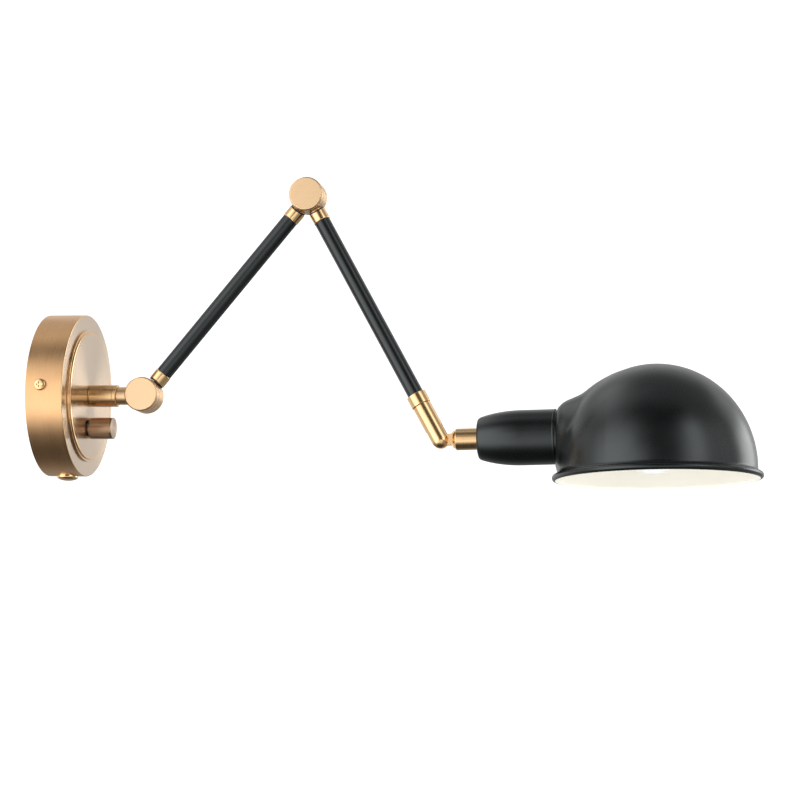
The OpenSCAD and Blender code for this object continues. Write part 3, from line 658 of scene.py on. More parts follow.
class WALLLIGHT_OT_canopy(Operator):
    """Turn the canopy drum and its stepped face disc"""

    bl_idname = "wall_light.canopy"
    bl_label = "Canopy"

    def execute(self, context):
        edge = arc((CANOPY_DEPTH - CANOPY_EDGE, CANOPY_R - CANOPY_EDGE), CANOPY_EDGE, 90, 0, 8)
        inner = CANOPY_R - CANOPY_WALL
        back = CANOPY_DEPTH - CANOPY_WALL
        drum = turned(
            "canopy_drum", WALL,
            [(0, CANOPY_R), *edge, (CANOPY_DEPTH, HUB_R), (back, HUB_R), (back, inner), (0, inner)],
            steps=160, closed=True,
        )
        ease_edges(drum, 0.15, 2)
        finished(drum, "base", ["brushed brass", "disc brass", "edge brass"], ["canopy"])
        for face in drum.data.polygons:
            along_x, radius = face.center.x / MM, hypot(face.center.y, face.center.z) / MM
            if along_x > CANOPY_DEPTH - CANOPY_EDGE and radius > CANOPY_R - CANOPY_EDGE:
                face.material_index = 2
            elif along_x > CANOPY_DEPTH - 0.05:
                face.material_index = 1
        lower = CANOPY_DEPTH + DISC_STEP
        disc = turned(
            "face_plate", WALL,
            [
                (CANOPY_DEPTH, HUB_R), (CANOPY_DEPTH, DISC_R - 0.35), (CANOPY_DEPTH + 0.35, DISC_R),
                (lower, DISC_R), (lower, DISC_R - RIM_LEDGE), (FRONT_X - RIM_DROP, DISC_R - RIM_LEDGE),
                (FRONT_X, DISC_R - RIM_WIDTH), (FRONT_X, HUB_R),
            ],
            steps=160, closed=True,
        )
        ease_edges(disc, 0.2, 3)
        finished(disc, "base", ["disc brass", "edge brass"], ["face_disc"])
        for face in disc.data.polygons:
            radius = hypot(face.center.y, face.center.z) / MM
            if radius > DISC_R - RIM_WIDTH - 0.1 and face.normal.x < FLAT_NORMAL:
                face.material_index = 1
        return {"FINISHED"}


class WALLLIGHT_OT_fittings(Operator):
    """Turn the canopy's two cross-recess side screws and the plug under it"""

    bl_idname = "wall_light.fittings"
    bl_label = "Canopy fittings"

    def execute(self, context):
        seat = CANOPY_R
        place = along(SCREW_X) @ Y_TURN
        head = arc((seat + 1.15, SCREW_R - 1.4), 1.4, 90, 20, 5)
        screw = turned(
            "canopy_screws", place,
            [
                (seat - 9, 0), (seat - 9, 2), (seat, 2), (seat, SCREW_R - 0.1), (seat + 0.1, SCREW_R),
                *head, (seat + SCREW_TOP, 1.9), (seat + SCREW_TOP, 0),
            ],
            steps=64,
        )
        for turn in (0, 90):
            slot = place @ Matrix.Rotation(radians(turn), 4, "X")
            low, high = (seat + 1.7, -2.4, -RECESS_HALF), (seat + 4, 2.4, RECESS_HALF)
            cut_away(screw, cutting_box(slot, low, high))
        ease_edges(screw, 0.08, 2)
        twin = screw.copy()
        twin.data = screw.data.copy()
        bpy.context.scene.collection.objects.link(twin)
        twin.data.transform(Matrix.Rotation(pi, 4, "X"))
        pick_none()
        screw.select_set(True)
        twin.select_set(True)
        bpy.context.view_layer.objects.active = screw
        bpy.ops.object.join()
        finished(screw, "base", ["bright brass"], ["side_screws"])
        down = along(PLUG_X) @ Matrix.Rotation(pi / 2, 4, "Y")
        rim, foot = CANOPY_R + 0.9, CANOPY_R - 2
        dome = [
            (rim + PLUG_DOME * sin(radians(a)), PLUG_R * cos(radians(a))) for a in range(0, 90, 10)
        ]
        plug = turned("outlet_cap", down, [(foot, 0), (foot, PLUG_R), *dome, (rim + PLUG_DOME, 0)])
        cut_away(plug, cutting_rod(WALL, CANOPY_R + 0.05, -20, 60, segments=256))
        join_on(plug, cutting_rod(down, 5, CANOPY_R - 9, rim))
        ease_edges(plug, 0.15, 3)
        finished(plug, "base", ["bright brass"], ["outlet_plug"])
        return {"FINISHED"}


class WALLLIGHT_OT_stem(Operator):
    """Turn the stem sleeve and the swivel with the near half of the shoulder knuckle"""

    bl_idname = "wall_light.stem"
    bl_label = "Stem"

    def execute(self, context):
        ring = SLEEVE_END - 3.4
        foot, groove = SLEEVE_R - UNDERCUT, SLEEVE_R - RING_DEPTH
        front = FRONT_X + 0.7
        supports = [(u, SLEEVE_R) for u in (front, front + 0.4, front + 1.1, ring - 1.2, ring - 0.5)]
        sleeve = turned(
            "stem_collar", WALL,
            [
                (SLEEVE_BACK, TAIL_BORE_R), (SLEEVE_BACK, SLEEVE_SHANK_R), (FRONT_X, SLEEVE_SHANK_R),
                (FRONT_X, foot), (FRONT_X + 0.5, foot), *supports, (ring, SLEEVE_R),
                (ring + 0.1, groove), (ring + 0.5, groove), (ring + 0.6, SLEEVE_R),
                (SLEEVE_END - 0.6, SLEEVE_R), (SLEEVE_END, SLEEVE_R - 0.6), (SLEEVE_END, TAIL_BORE_R),
            ],
            closed=True,
        )
        ease_edges(sleeve, 0.08, 2)
        finished(sleeve, "base", ["sleeve brass"], ["stem_sleeve"])
        back = STEM @ Matrix.Rotation(pi, 4, "Z")
        swivel = knuckle_half("stem_knuckle", STEM, -1)
        shank = cutting_rod(back, NECK_R, KNUCKLE_R - 4, STEM_REACH - SLEEVE_END - 0.05)
        cut_away(shank, cutting_rod(STEM, COPE_R, 0, 20, "Y"))
        cut_away(shank, cutting_rod(STEM, KNUCKLE_R + 0.05, -20, -LAP_T, "Y"))
        join_on(swivel, shank)
        join_on(swivel, cutting_rod(WALL, TAIL_R, TAIL_END, SLEEVE_END + 1))
        cut_away(swivel, cutting_rod(WALL, LEAD_R, TAIL_END - 1, STEM_REACH - 9))
        ease_edges(swivel, 0.12, 3)
        finished(swivel, "stem", ["satin brass"], ["stem_swivel"])
        return {"FINISHED"}


def knuckle_half(name, place, side):
    """One disc of a half-lap knuckle with its bore and washer pocket; side is -1 near, 1 far."""
    rim, chamfer = KNUCKLE_R, 0.35 if side < 0 else KNUCKLE_CHAMFER
    seat, pocket = WASHER_T + SINK, LAP_T - NUT_DEPTH - SINK
    outline = [
        (seat, BOLT_BORE_R), (seat, WASHER_R), (0, WASHER_R), (0, rim - 0.12), (0.12, rim),
        (LAP_T - chamfer, rim), (LAP_T, rim - chamfer),
    ]
    if side > 0:
        outline += [(LAP_T, NUT_R + 0.15), (pocket, NUT_R + 0.15), (pocket, BOLT_BORE_R)]
    else:
        outline += [(LAP_T, BOLT_BORE_R)]
    return turned(name, place @ Y_TURN, [(u * side, r) for u, r in outline], steps=128, closed=True)


class WALLLIGHT_OT_knuckles(Operator):
    """Turn the other knuckle halves, their caps and the nuts at the back"""

    bl_idname = "wall_light.knuckles"
    bl_label = "Knuckles"

    def lap(self, name, place, side, body, node):
        lap = knuckle_half(name, place, side)
        shank = cutting_rod(place, SPIGOT_R, KNUCKLE_R - 4, COPE_R + 12)
        low, high = (0, 20) if side < 0 else (-20, 0)
        cut_away(shank, cutting_rod(place, COPE_R, low, high, "Y"))
        join_on(lap, shank)
        cut_away(lap, cutting_rod(place, LEAD_R, 9.5, COPE_R + 13))
        ease_edges(lap, 0.12, 3)
        finished(lap, body, ["satin brass"], [node])

    def cap(self, name, place, body, node):
        out, rim = LAP_T + CAP_T, KNUCKLE_R
        cap = turned(
            name, place @ Y_TURN,
            [
                (-out, 0), (-out, rim - CAP_CHAMFER), (-out + CAP_CHAMFER, rim), (-LAP_T - 0.4, rim),
                (-LAP_T, rim - 0.4), (-LAP_T, BOLT_R), (LAP_T - 0.9, BOLT_R), (LAP_T - 0.6, BOLT_R - 0.3),
                (LAP_T - 0.6, 0),
            ],
            steps=128,
        )
        ease_edges(cap, 0.35, 4, 20)
        finished(cap, body, ["satin brass"], [node])

    def nut(self, name, place, body, node):
        back = LAP_T - NUT_DEPTH
        out = back + NUT_T
        nut = turned(
            name, place @ Y_TURN,
            [
                (back, BOLT_BORE_R), (back, NUT_R), (out - 0.5, NUT_R), (out, NUT_R - 0.5),
                (out, BOLT_BORE_R),
            ],
            steps=64, closed=True,
        )
        for side in (-1, 1):
            hole = place @ along(side * 5.25)
            cut_away(nut, cutting_rod(hole, 0.9, out - 2, LAP_T + 1, "Y", 24))
        ease_edges(nut, 0.08, 2)
        finished(nut, body, ["satin brass"], [node])

    def execute(self, context):
        elbow = Matrix.Translation(ELBOW.translation)
        self.lap("shoulder_half", ARM1, 1, "arm1", "arm1_lower_lap")
        self.lap("elbow_far_half", ARM1_BACK, 1, "arm1", "arm1_upper_lap")
        self.lap("elbow_near_half", ARM2, -1, "arm2", "arm2_upper_lap")
        self.cap("shoulder_button", STEM, "stem", "shoulder_cap")
        self.cap("elbow_button", elbow, "arm2", "elbow_cap")
        self.nut("shoulder_ring_nut", STEM, "stem", "shoulder_nut")
        self.nut("elbow_ring_nut", elbow, "arm2", "elbow_nut")
        return {"FINISHED"}


class WALLLIGHT_OT_arms(Operator):
    """Turn the black arm tubes with their coped ends, the ferrules and the lower collar"""

    bl_idname = "wall_light.arms"
    bl_label = "Arms"

    def tube(self, name, place, end, cope_end, body, node):
        start = KNUCKLE_R / 2
        tube = turned(
            name, place,
            [(start, TUBE_R), (end, TUBE_R), (end, TUBE_R - TUBE_WALL), (start, TUBE_R - TUBE_WALL)],
            steps=72, closed=True,
        )
        cut_away(tube, cutting_rod(place, COPE_R, -20, 20, "Y"))
        if cope_end:
            cut_away(tube, cutting_rod(place @ along(cope_end), COPE_R, -20, 20, "Y"))
        finished(tube, body, ["black lacquer"], [node])

    def ferrule(self, name, place, material, body, node):
        bore = TUBE_R + FIT
        ferrule = turned(
            name, place,
            [
                (10.0, bore), (10.0, FERRULE_R), (FERRULE_END - 0.9, FERRULE_R),
                (FERRULE_END - 0.55, FERRULE_R - 0.2), (FERRULE_END - 0.2, FERRULE_R - 0.05),
                (FERRULE_END, FERRULE_R - 0.3), (FERRULE_END, bore),
            ],
            steps=72, closed=True,
        )
        cut_away(ferrule, cutting_rod(place, FERRULE_START, -20, 20, "Y"))
        ease_edges(ferrule, 0.1, 2)
        finished(ferrule, body, [material], [node])

    def execute(self, context):
        self.tube("arm_tube_lower", ARM1, ARM1_LEN - KNUCKLE_R / 2, ARM1_LEN, "arm1", "arm1_tube")
        self.tube("arm_tube_upper", ARM2, COLLAR_END - COLLAR_WEB, 0, "arm2", "arm2_tube")
        self.ferrule("ferrule_lower", ARM1, "arm 1 brass", "arm1", "arm1_lower_ferrule")
        self.ferrule("ferrule_upper", ARM1_BACK, "arm 1 brass", "arm1", "arm1_upper_ferrule")
        self.ferrule("ferrule_far", ARM2, "arm 2 brass", "arm2", "arm2_upper_ferrule")
        step = COLLAR_END - COLLAR_WEB
        collar = turned(
            "arm_collar", ARM2,
            [
                (COLLAR_START, TUBE_R + FIT), (COLLAR_START, COLLAR_R - 0.4),
                (COLLAR_START + 0.4, COLLAR_R), (COLLAR_END - 0.4, COLLAR_R), (COLLAR_END, COLLAR_R - 0.4),
                (COLLAR_END, COLLAR_BORE_R), (step, COLLAR_BORE_R), (step, TUBE_R + FIT),
            ],
            steps=80, closed=True,
        )
        ease_edges(collar, 0.12, 2)
        finished(collar, "arm2", ["arm 2 brass"], ["arm2_collar"])
        return {"FINISHED"}


class WALLLIGHT_OT_clevis(Operator):
    """Turn and slot the clevis, its pin, and the tongue that grows out of the barrel"""

    bl_idname = "wall_light.clevis"
    bl_label = "Clevis"

    def execute(self, context):
        start = 0.05 - CLEVIS_LEN
        dome = arc((0, 0), CLEVIS_R, 90, 6, 14)
        fork = turned(
            "clevis_fork", CLEVIS,
            [
                (start - 7.8, 0), (start - 7.8, CLEVIS_TAIL_R), (start, CLEVIS_TAIL_R),
                (start, CLEVIS_R - 0.35), (start + 0.35, CLEVIS_R), (-4, CLEVIS_R), (-1.6, CLEVIS_R),
                (-0.7, CLEVIS_R), *dome, (CLEVIS_R, 0),
            ],
            steps=128,
        )
        half = TONGUE_T / 2 + 0.15
        cut_away(fork, cutting_box(CLEVIS, (-SLOT_DEPTH, -half, -20), (20, half, 20)))
        cut_away(fork, cutting_rod(CLEVIS, PIN_R + 0.05, -4.8, 20, "Y", 48))
        cut_away(fork, cutting_rod(CLEVIS, PIN_R + 1, CLEVIS_R - 1.8, 20, "Y", 48))
        cut_away(fork, cutting_rod(CLEVIS, LEAD_R, start - 9, -9, segments=48))
        ease_edges(fork, 0.3, 4)
        finished(fork, "clevis", ["arm 2 brass"], ["clevis"])
        seat, top, head = CLEVIS_R - 1.8, CLEVIS_R - 0.6, PIN_R + 0.9
        pin = turned(
            "clevis_bolt", CLEVIS @ Y_TURN,
            [
                (-4.7, 0), (-4.7, PIN_R), (seat, PIN_R), (seat, head), (top - 0.2, head),
                (top, head - 0.2), (top, 0),
            ],
            steps=48,
        )
        cut_away(pin, cutting_box(CLEVIS, (-0.4, CLEVIS_R - 1.2, -5), (0.4, 20, 5)))
        ease_edges(pin, 0.06, 2)
        finished(pin, "clevis", ["bright brass"], ["clevis_pin"])
        self.tongue()
        return {"FINISHED"}

    def tongue(self):
        face_r, shoulder, floor = BARREL_R - BARREL_BEVEL, BARREL_START + BARREL_BEVEL, CUP_START - 7.5
        barrel = turned(
            "tongue_barrel", HOLDER,
            [
                (BARREL_START, 0), (BARREL_START, face_r - 0.2), (BARREL_START + 0.2, face_r + 0.2),
                (shoulder - 0.3, BARREL_R - 0.12), (shoulder + 0.2, BARREL_R),
                (CUP_START - 0.3, BARREL_R), (CUP_START, BARREL_R - 0.3), (CUP_START, NIPPLE_BORE_R),
                (floor, NIPPLE_BORE_R), (floor, 0),
            ],
            steps=128,
        )
        half, flare, eye = TONGUE_T / 2, 2.6, CLEVIS_R - 1
        start = BARREL_START - flare
        upper = arc((start, TONGUE_WAIST + flare), flare, -90, -18, 9)
        join = degrees(asin(TONGUE_WAIST / eye))
        tip = arc((0, 0), eye, join, 360 - join, 40)
        outline = [(BARREL_START + 1, upper[-1][1]), *upper[::-1], *tip]
        outline += [(x, -z) for x, z in upper] + [(BARREL_START + 1, -upper[-1][1])]
        tongue = plate("tongue_plate", HOLDER, outline, -half, half)
        ease_edges(tongue, 0.3, 3)
        join_on(barrel, tongue)
        cut_away(barrel, cutting_rod(HOLDER, PIN_R + 0.05, -5, 5, "Y", 48))
        finished(barrel, "lamp_holder", ["holder brass"], ["holder_tongue"])


class WALLLIGHT_OT_cup(Operator):
    """Turn the bullet-shaped lamp holder cup with its rolled lip"""

    bl_idname = "wall_light.cup"
    bl_label = "Lamp holder cup"

    def execute(self, context):
        def nose(u, wall):
            """Point of the rounded nose at a station, on its outside or a wall's width inside."""
            reach = NOSE_LEN * 1.5
            return CUP_START + u, (CUP_R - wall) * sqrt(1 - (max(NOSE_LEN - u, 0) / reach) ** 2)

        steps = 20
        depth = NOSE_LEN - CUP_WALL
        outer = [nose(NOSE_LEN * i / steps, 0) for i in range(1, steps + 1)]
        inner = [nose(CUP_WALL + depth * i / steps, CUP_WALL) for i in range(steps, -1, -1)]
        first = nose(0, 0)[1]
        cup = turned(
            "holder_shell", HOLDER,
            [
                (CUP_START, NIPPLE_BORE_R), (CUP_START, first - 1.2), (CUP_START + 0.25, first - 0.55),
                (CUP_START + 0.7, first - 0.1), *outer, (CUP_END - 1.6, CUP_R),
                (CUP_END - 1.3, CUP_R + 0.12), (CUP_END - 1.0, CUP_R + LIP_RISE),
                (CUP_END - 0.35, CUP_R + LIP_RISE), (CUP_END - 0.1, CUP_R + 0.1), (CUP_END, CUP_R - 0.2),
                (CUP_END, CUP_R - CUP_WALL), *inner, (CUP_START + CUP_WALL, NIPPLE_BORE_R),
            ],
            steps=128, closed=True,
        )
        finished(cup, "lamp_holder", ["black lacquer"], ["holder_cup"])
        return {"FINISHED"}


def collar_outline():
    """Points (along, radius) of the shade's side collar, from its lip to the dome's crown."""
    cone = BOSS_START + BOSS_EDGE_LEN
    fillet = cone + BOSS_RUN
    fillet_r = BOSS_R + BOSS_SLOPE * BOSS_RUN
    blend = fillet + FILLET_LEN
    blend_r = fillet_r + FILLET_LEN * (BOSS_SLOPE + FILLET_SLOPE) / 2
    end = blend + BLEND_LEN
    gap = sqrt(1 - ((end - SHADE_U) / SHADE_R) ** 2)
    crown_r = DOME_H * gap - AXIS_RISE
    crown_slope = DOME_H * (SHADE_U - end) / SHADE_R**2 / gap
    control = (BOSS_START + BOSS_EDGE_LEN * 0.45, BOSS_R - BOSS_SLOPE * BOSS_EDGE_LEN * 0.55)
    points = []
    for i in range(13):
        t = i / 12
        u = BOSS_START * (1 - t) ** 2 + 2 * control[0] * t * (1 - t) + cone * t * t
        r = BOSS_LIP_R * (1 - t) ** 2 + 2 * control[1] * t * (1 - t) + BOSS_R * t * t
        points.append((u, r))
    for i in range(9):
        t = i / 8
        mean_slope = BOSS_SLOPE + (FILLET_SLOPE - BOSS_SLOPE) * t / 2
        points.append((fillet + FILLET_LEN * t, fillet_r + FILLET_LEN * t * mean_slope))
    for i in range(1, 31):
        t = i / 30
        r = (
            blend_r * (1 - 3 * t * t + 2 * t**3) + FILLET_SLOPE * BLEND_LEN * t * (1 - t) ** 2
            + crown_r * (3 * t * t - 2 * t**3) - crown_slope * BLEND_LEN * t * t * (1 - t)
        )
        points.append((blend + BLEND_LEN * t, r))
    return points


def dome_reach(polar, turn):
    """Distance from the holder's axis under the dome's centre to the dome, on one ray.

    polar is the angle from the direction of the cup, turn the angle round the holder's axis."""
    side, out, up = cos(polar), sin(polar) * sin(turn), sin(polar) * cos(turn)
    flat = (side * side + out * out) / SHADE_R**2
    a = flat + (up / DOME_H) ** 2
    b = 2 * up * AXIS_RISE / DOME_H**2
    c = (AXIS_RISE / DOME_H) ** 2 - 1
    reach = (-b + sqrt(b * b - 4 * a * c)) / (2 * a)
    if reach * up < -AXIS_RISE:
        reach = 1 / sqrt(max(flat, 1e-9))
    deepest = AXIS_RISE + BAND_H + 6
    if reach * up < -deepest:
        reach = -deepest / up
    return reach


class WALLLIGHT_OT_shade(Operator):
    """Shape the shade: dome, side collar that flows into it, cream inside and rolled bead"""

    bl_idname = "wall_light.shade"
    bl_label = "Shade"

    def execute(self, context):
        softness = context.scene.wall_light_sizes.seam_softness / MM
        collar = collar_outline()
        polars = [atan2(r, SHADE_U - u) for u, r in collar]
        reaches = [hypot(r, SHADE_U - u) for u, r in collar]
        bore = [SOCKET_R + 0.15, (SOCKET_R + BOSS_LIP_R) / 2]
        stations = [atan2(r, SHADE_U - BOSS_START) for r in bore] + polars
        last = stations[-1]
        far = 44
        stations += [last + (pi - last) * i / far for i in range(1, far)]
        turns = 180
        pick_none()
        bpy.ops.mesh.primitive_uv_sphere_add(
            segments=turns, ring_count=len(stations) + 1, radius=1.0, rotation=(0, -pi / 2, 0)
        )
        shade = bpy.context.object
        shade.name = "shade_shell"
        bpy.ops.object.transform_apply(location=True, rotation=True, scale=True)

        def collar_reach(polar):
            if polar <= polars[0]:
                return (SHADE_U - BOSS_START) / cos(polar)
            for i in range(1, len(polars)):
                if polar <= polars[i]:
                    t = (polar - polars[i - 1]) / (polars[i] - polars[i - 1])
                    return reaches[i - 1] * (1 - t) + reaches[i] * t
            return 0.0

        centre = HOLDER @ along(SHADE_U)
        rings = len(stations) + 1
        for vertex in shade.data.vertices:
            x, y, z = vertex.co
            polar = atan2(hypot(y, z), -x)
            ring = round(polar / pi * rings)
            turn = atan2(y, z)
            if 0 < ring < rings:
                polar = stations[ring - 1]
            dome = dome_reach(polar, turn)
            side = collar_reach(polar)
            if polar <= polars[0]:
                reach = side
            else:
                soft = max(softness * (1 - cos(turn)) * 0.75, 0.05)
                near = max(soft - abs(dome - side), 0) / soft
                reach = max(dome, side) + near * near * soft / 4
            point = Vector((-cos(polar), sin(polar) * sin(turn), sin(polar) * cos(turn)))
            vertex.co = centre @ (point * reach * MM)
        rim = SHADE_AXIS @ Matrix.Translation((0, 0, -BAND_H * MM))
        rim_up = rim.to_3x3() @ Vector((0, 0, 1))
        from_mouth, from_rim = (HOLDER @ along(BOSS_START)).inverted(), rim.inverted()
        bpy.ops.object.mode_set(mode="EDIT")
        bpy.ops.mesh.select_all(action="DESELECT")
        bpy.ops.object.mode_set(mode="OBJECT")
        for vertex in shade.data.vertices:
            out, up = (from_mouth @ vertex.co).x / MM, (from_rim @ vertex.co).z / MM
            vertex.select = SMOOTH_FROM < out < SMOOTH_TO and up > SMOOTH_ABOVE
        bpy.ops.object.mode_set(mode="EDIT")
        bpy.ops.mesh.vertices_smooth(factor=0.5, repeat=10)
        bpy.ops.mesh.select_all(action="SELECT")
        bpy.ops.mesh.bisect(plane_co=rim.translation, plane_no=rim_up, clear_inner=True)
        bpy.ops.mesh.select_all(action="DESELECT")
        bpy.ops.object.mode_set(mode="OBJECT")
        for face in shade.data.polygons:
            here = from_mouth @ face.center
            face.select = abs(here.x) < 0.3 * MM and hypot(here.y, here.z) < SOCKET_R * MM
        bpy.ops.object.mode_set(mode="EDIT")
        bpy.ops.mesh.delete(type="FACE")
        bpy.ops.object.mode_set(mode="OBJECT")
        for material in ("black lacquer", "cream enamel"):
            shade.data.materials.append(Finish.made[material])
        apply_modifier(
            shade, "SOLIDIFY", thickness=SHADE_WALL * MM, offset=-1, use_even_offset=True,
            material_offset=1, material_offset_rim=1,
        )
        finished(shade, "lamp_holder", [], ["shade"], angle=50)
        self.bead(rim)
        return {"FINISHED"}

    def bead(self, rim):
        """The rolled bead round the shade's rim, black outside and cream inside."""
        upright = rim @ Matrix.Rotation(-pi / 2, 4, "Y")
        inside = SHADE_R - SHADE_WALL
        roll = arc((0, BEAD_RING_R), BEAD_R, 230, 2, 19)
        flare = [
            (2.55, BEAD_RING_R - 0.55), (3.1, SHADE_R + 0.55), (3.9, SHADE_R + 0.2),
            (BEAD_TOP, SHADE_R + 0.04),
        ]
        bead = turned(
            "shade_bead", upright,
            [(BEAD_TOP, inside - 0.02), (0.3, inside - 0.02), (-0.8, inside + 0.15), *roll, *flare],
            steps=180, closed=True,
        )
        from_bead = upright.inverted()
        finished(bead, "lamp_holder", ["black lacquer", "cream enamel"])
        for face in bead.data.polygons:
            here = from_bead @ face.center
            radius = hypot(here.y, here.z) / MM
            if radius < BEAD_RING_R and (here.x < 0 or radius < SHADE_R):
                face.material_index = 1


class WALLLIGHT_OT_bulb(Operator):
    """Turn the round frosted bulb"""

    bl_idname = "wall_light.bulb"
    bl_label = "Bulb"

    def execute(self, context):
        neck, start = BULB_NECK_R, GLASS_START + 5
        run = BULB_U - start
        slope = asin(BULB_R / hypot(run, neck)) - atan2(neck, run)
        reach = sqrt(run * run + neck * neck - BULB_R**2)
        touch = (start + reach * cos(slope), neck + reach * sin(slope))
        first = degrees(atan2(touch[1], touch[0] - BULB_U))
        round_end = arc((BULB_U, 0), BULB_R, first, 0, 48)
        soft = [(GLASS_START + 3.5, neck), (GLASS_START + 5.2, neck + 0.12), (GLASS_START + 7, neck + 0.75)]
        bulb = turned(
            "bulb_envelope", HOLDER,
            [(GLASS_START, neck - 1), (GLASS_START, neck), *soft, *round_end[:-1], (BULB_U + BULB_R, 0)],
            steps=128,
        )
        finished(bulb, "lamp_holder", ["opal glass"], ["bulb_glass"], 60)
        return {"FINISHED"}


class WALLLIGHT_OT_knob(Operator):
    """Turn the dimmer knob and knurl its grip with diamonds"""

    bl_idname = "wall_light.knob"
    bl_label = "Dimmer knob"

    def execute(self, context):
        sizes = context.scene.wall_light_sizes
        steps = sizes.knurls * ROWS_A_DIAMOND
        start, end, rows = GRIP_START, GRIP_END, GRIP_ROWS
        grip, plain, groove = KNOB_R - 0.02, KNOB_R - 0.1, KNOB_R - 0.55
        band = [(start + (end - start) * i / rows, grip) for i in range(rows + 1)]
        base, last = KNOB_START + 0.3, KNOB_START + KNOB_LEN
        hollow = base + 2.3
        knob = turned(
            "dimmer_grip", DIMMER,
            [
                (hollow, 0), (hollow, KNOB_HOLLOW_R), (base, KNOB_HOLLOW_R), (base, KNOB_R - 0.3),
                (base + 0.15, plain), (start - 0.25, plain), (start - 0.1, groove), *band,
                (end + 0.1, groove), (end + 0.3, plain), (last - 0.35, plain), (last - 0.1, KNOB_R - 0.3),
                (last, KNOB_R - 0.6), (last, 0),
            ],
            steps=steps,
        )
        from_knob = DIMMER.inverted()
        half = ROWS_A_DIAMOND // 2
        for vertex in knob.data.vertices:
            here = from_knob @ vertex.co
            radius = hypot(here.y, here.z)
            if abs(radius - grip * MM) > 0.02 * MM or not start - 0.01 < here.x / MM < end + 0.01:
                continue
            row = round((here.x / MM - start) / (end - start) * rows)
            column = round(atan2(here.z, here.y) / (2 * pi) * steps)
            fall = [abs((row + way * column) % ROWS_A_DIAMOND - half) / half for way in (1, -1)]
            shrink = 1 - sizes.knurl_depth * max(fall) / radius
            here.y *= shrink
            here.z *= shrink
            vertex.co = DIMMER @ here
        finished(knob, "dimmer", ["knob brass", "knob face"], ["dimmer_knob"], angle=18)
        for face in knob.data.polygons:
            if face.center.x / MM > end + 0.12:
                face.material_index = 1
        return {"FINISHED"}


# Brightness of the room that gloss mirrors, and the heights in degrees where floor turns to wall
ROOM_FLOOR = 0.06
ROOM_WALL = 0.32
SKIRTING = (-72, -28)
WHITE_ROOM = 1.25
# Panels in that room: which way, from and to in degrees round the room and the softness of these
# ends, from and to in height and their softness, and brightness, which is below zero for shade
PANELS = (
    ("front", -70, -24, 12, -38, 36, 19, 1.9),
    ("front", -25, -7, 4, -36, 16, 9, 0.9),
    ("front", -4, 38, 5, -19, -5, 4, 0.9),
    ("front", -14, 40, 8, -48, -19, 10, 0.5),
    ("front", 38, 62, 9, -2, 44, 8, 1.7),
    ("front", 62, 100, 10, -5, 38, 10, 0.45),
    ("front", -150, -78, 12, -22, 30, 10, 0.55),
    ("front", -130, -75, 16, 40, 64, 12, 0.95),
    ("front", -5, 27, 5, 0, 34, 6, -0.22),
    ("front", -46, 50, 12, 38, 66, 8, -0.22),
    ("front", -8, 50, 6, 38, 58, 7, -0.09),
    ("front", -95, -45, 12, 44, 120, 10, 0.22),
    ("back", 30, 64, 4, -2, 24, 5, 2.4),
    ("back", 30, 64, 6, -2, 46, 6, 0.7),
    ("back", -30, 28, 8, -5, 42, 8, 0.4),
    ("back", -60, 30, 12, 36, 60, 8, 0.3),
)
# Soft lights: name, place, width, height and brightness
SOFTBOXES = (
    ("front left box", (-1.0, -2.1, 0.15), 2.2, 1.5, 0.7),
    ("front right box", (1.9, -1.6, 0.45), 1.2, 1.3, 0.7),
    ("right edge box", (2.1, 1.7, 0.2), 0.9, 1.6, 1.2),
)
LOOK_AT = Vector((0.3, 0, 0.03))
# The photograph's camera, in metres, degrees and millimetres
CAMERA_PLACE = (0.61534, -1.78120, -0.24302)
CAMERA_AZIMUTH = 10.741
CAMERA_ELEVATION = -7.546
CAMERA_ROLL = 1.506
LENS = 108.02
SENSOR = 36.0


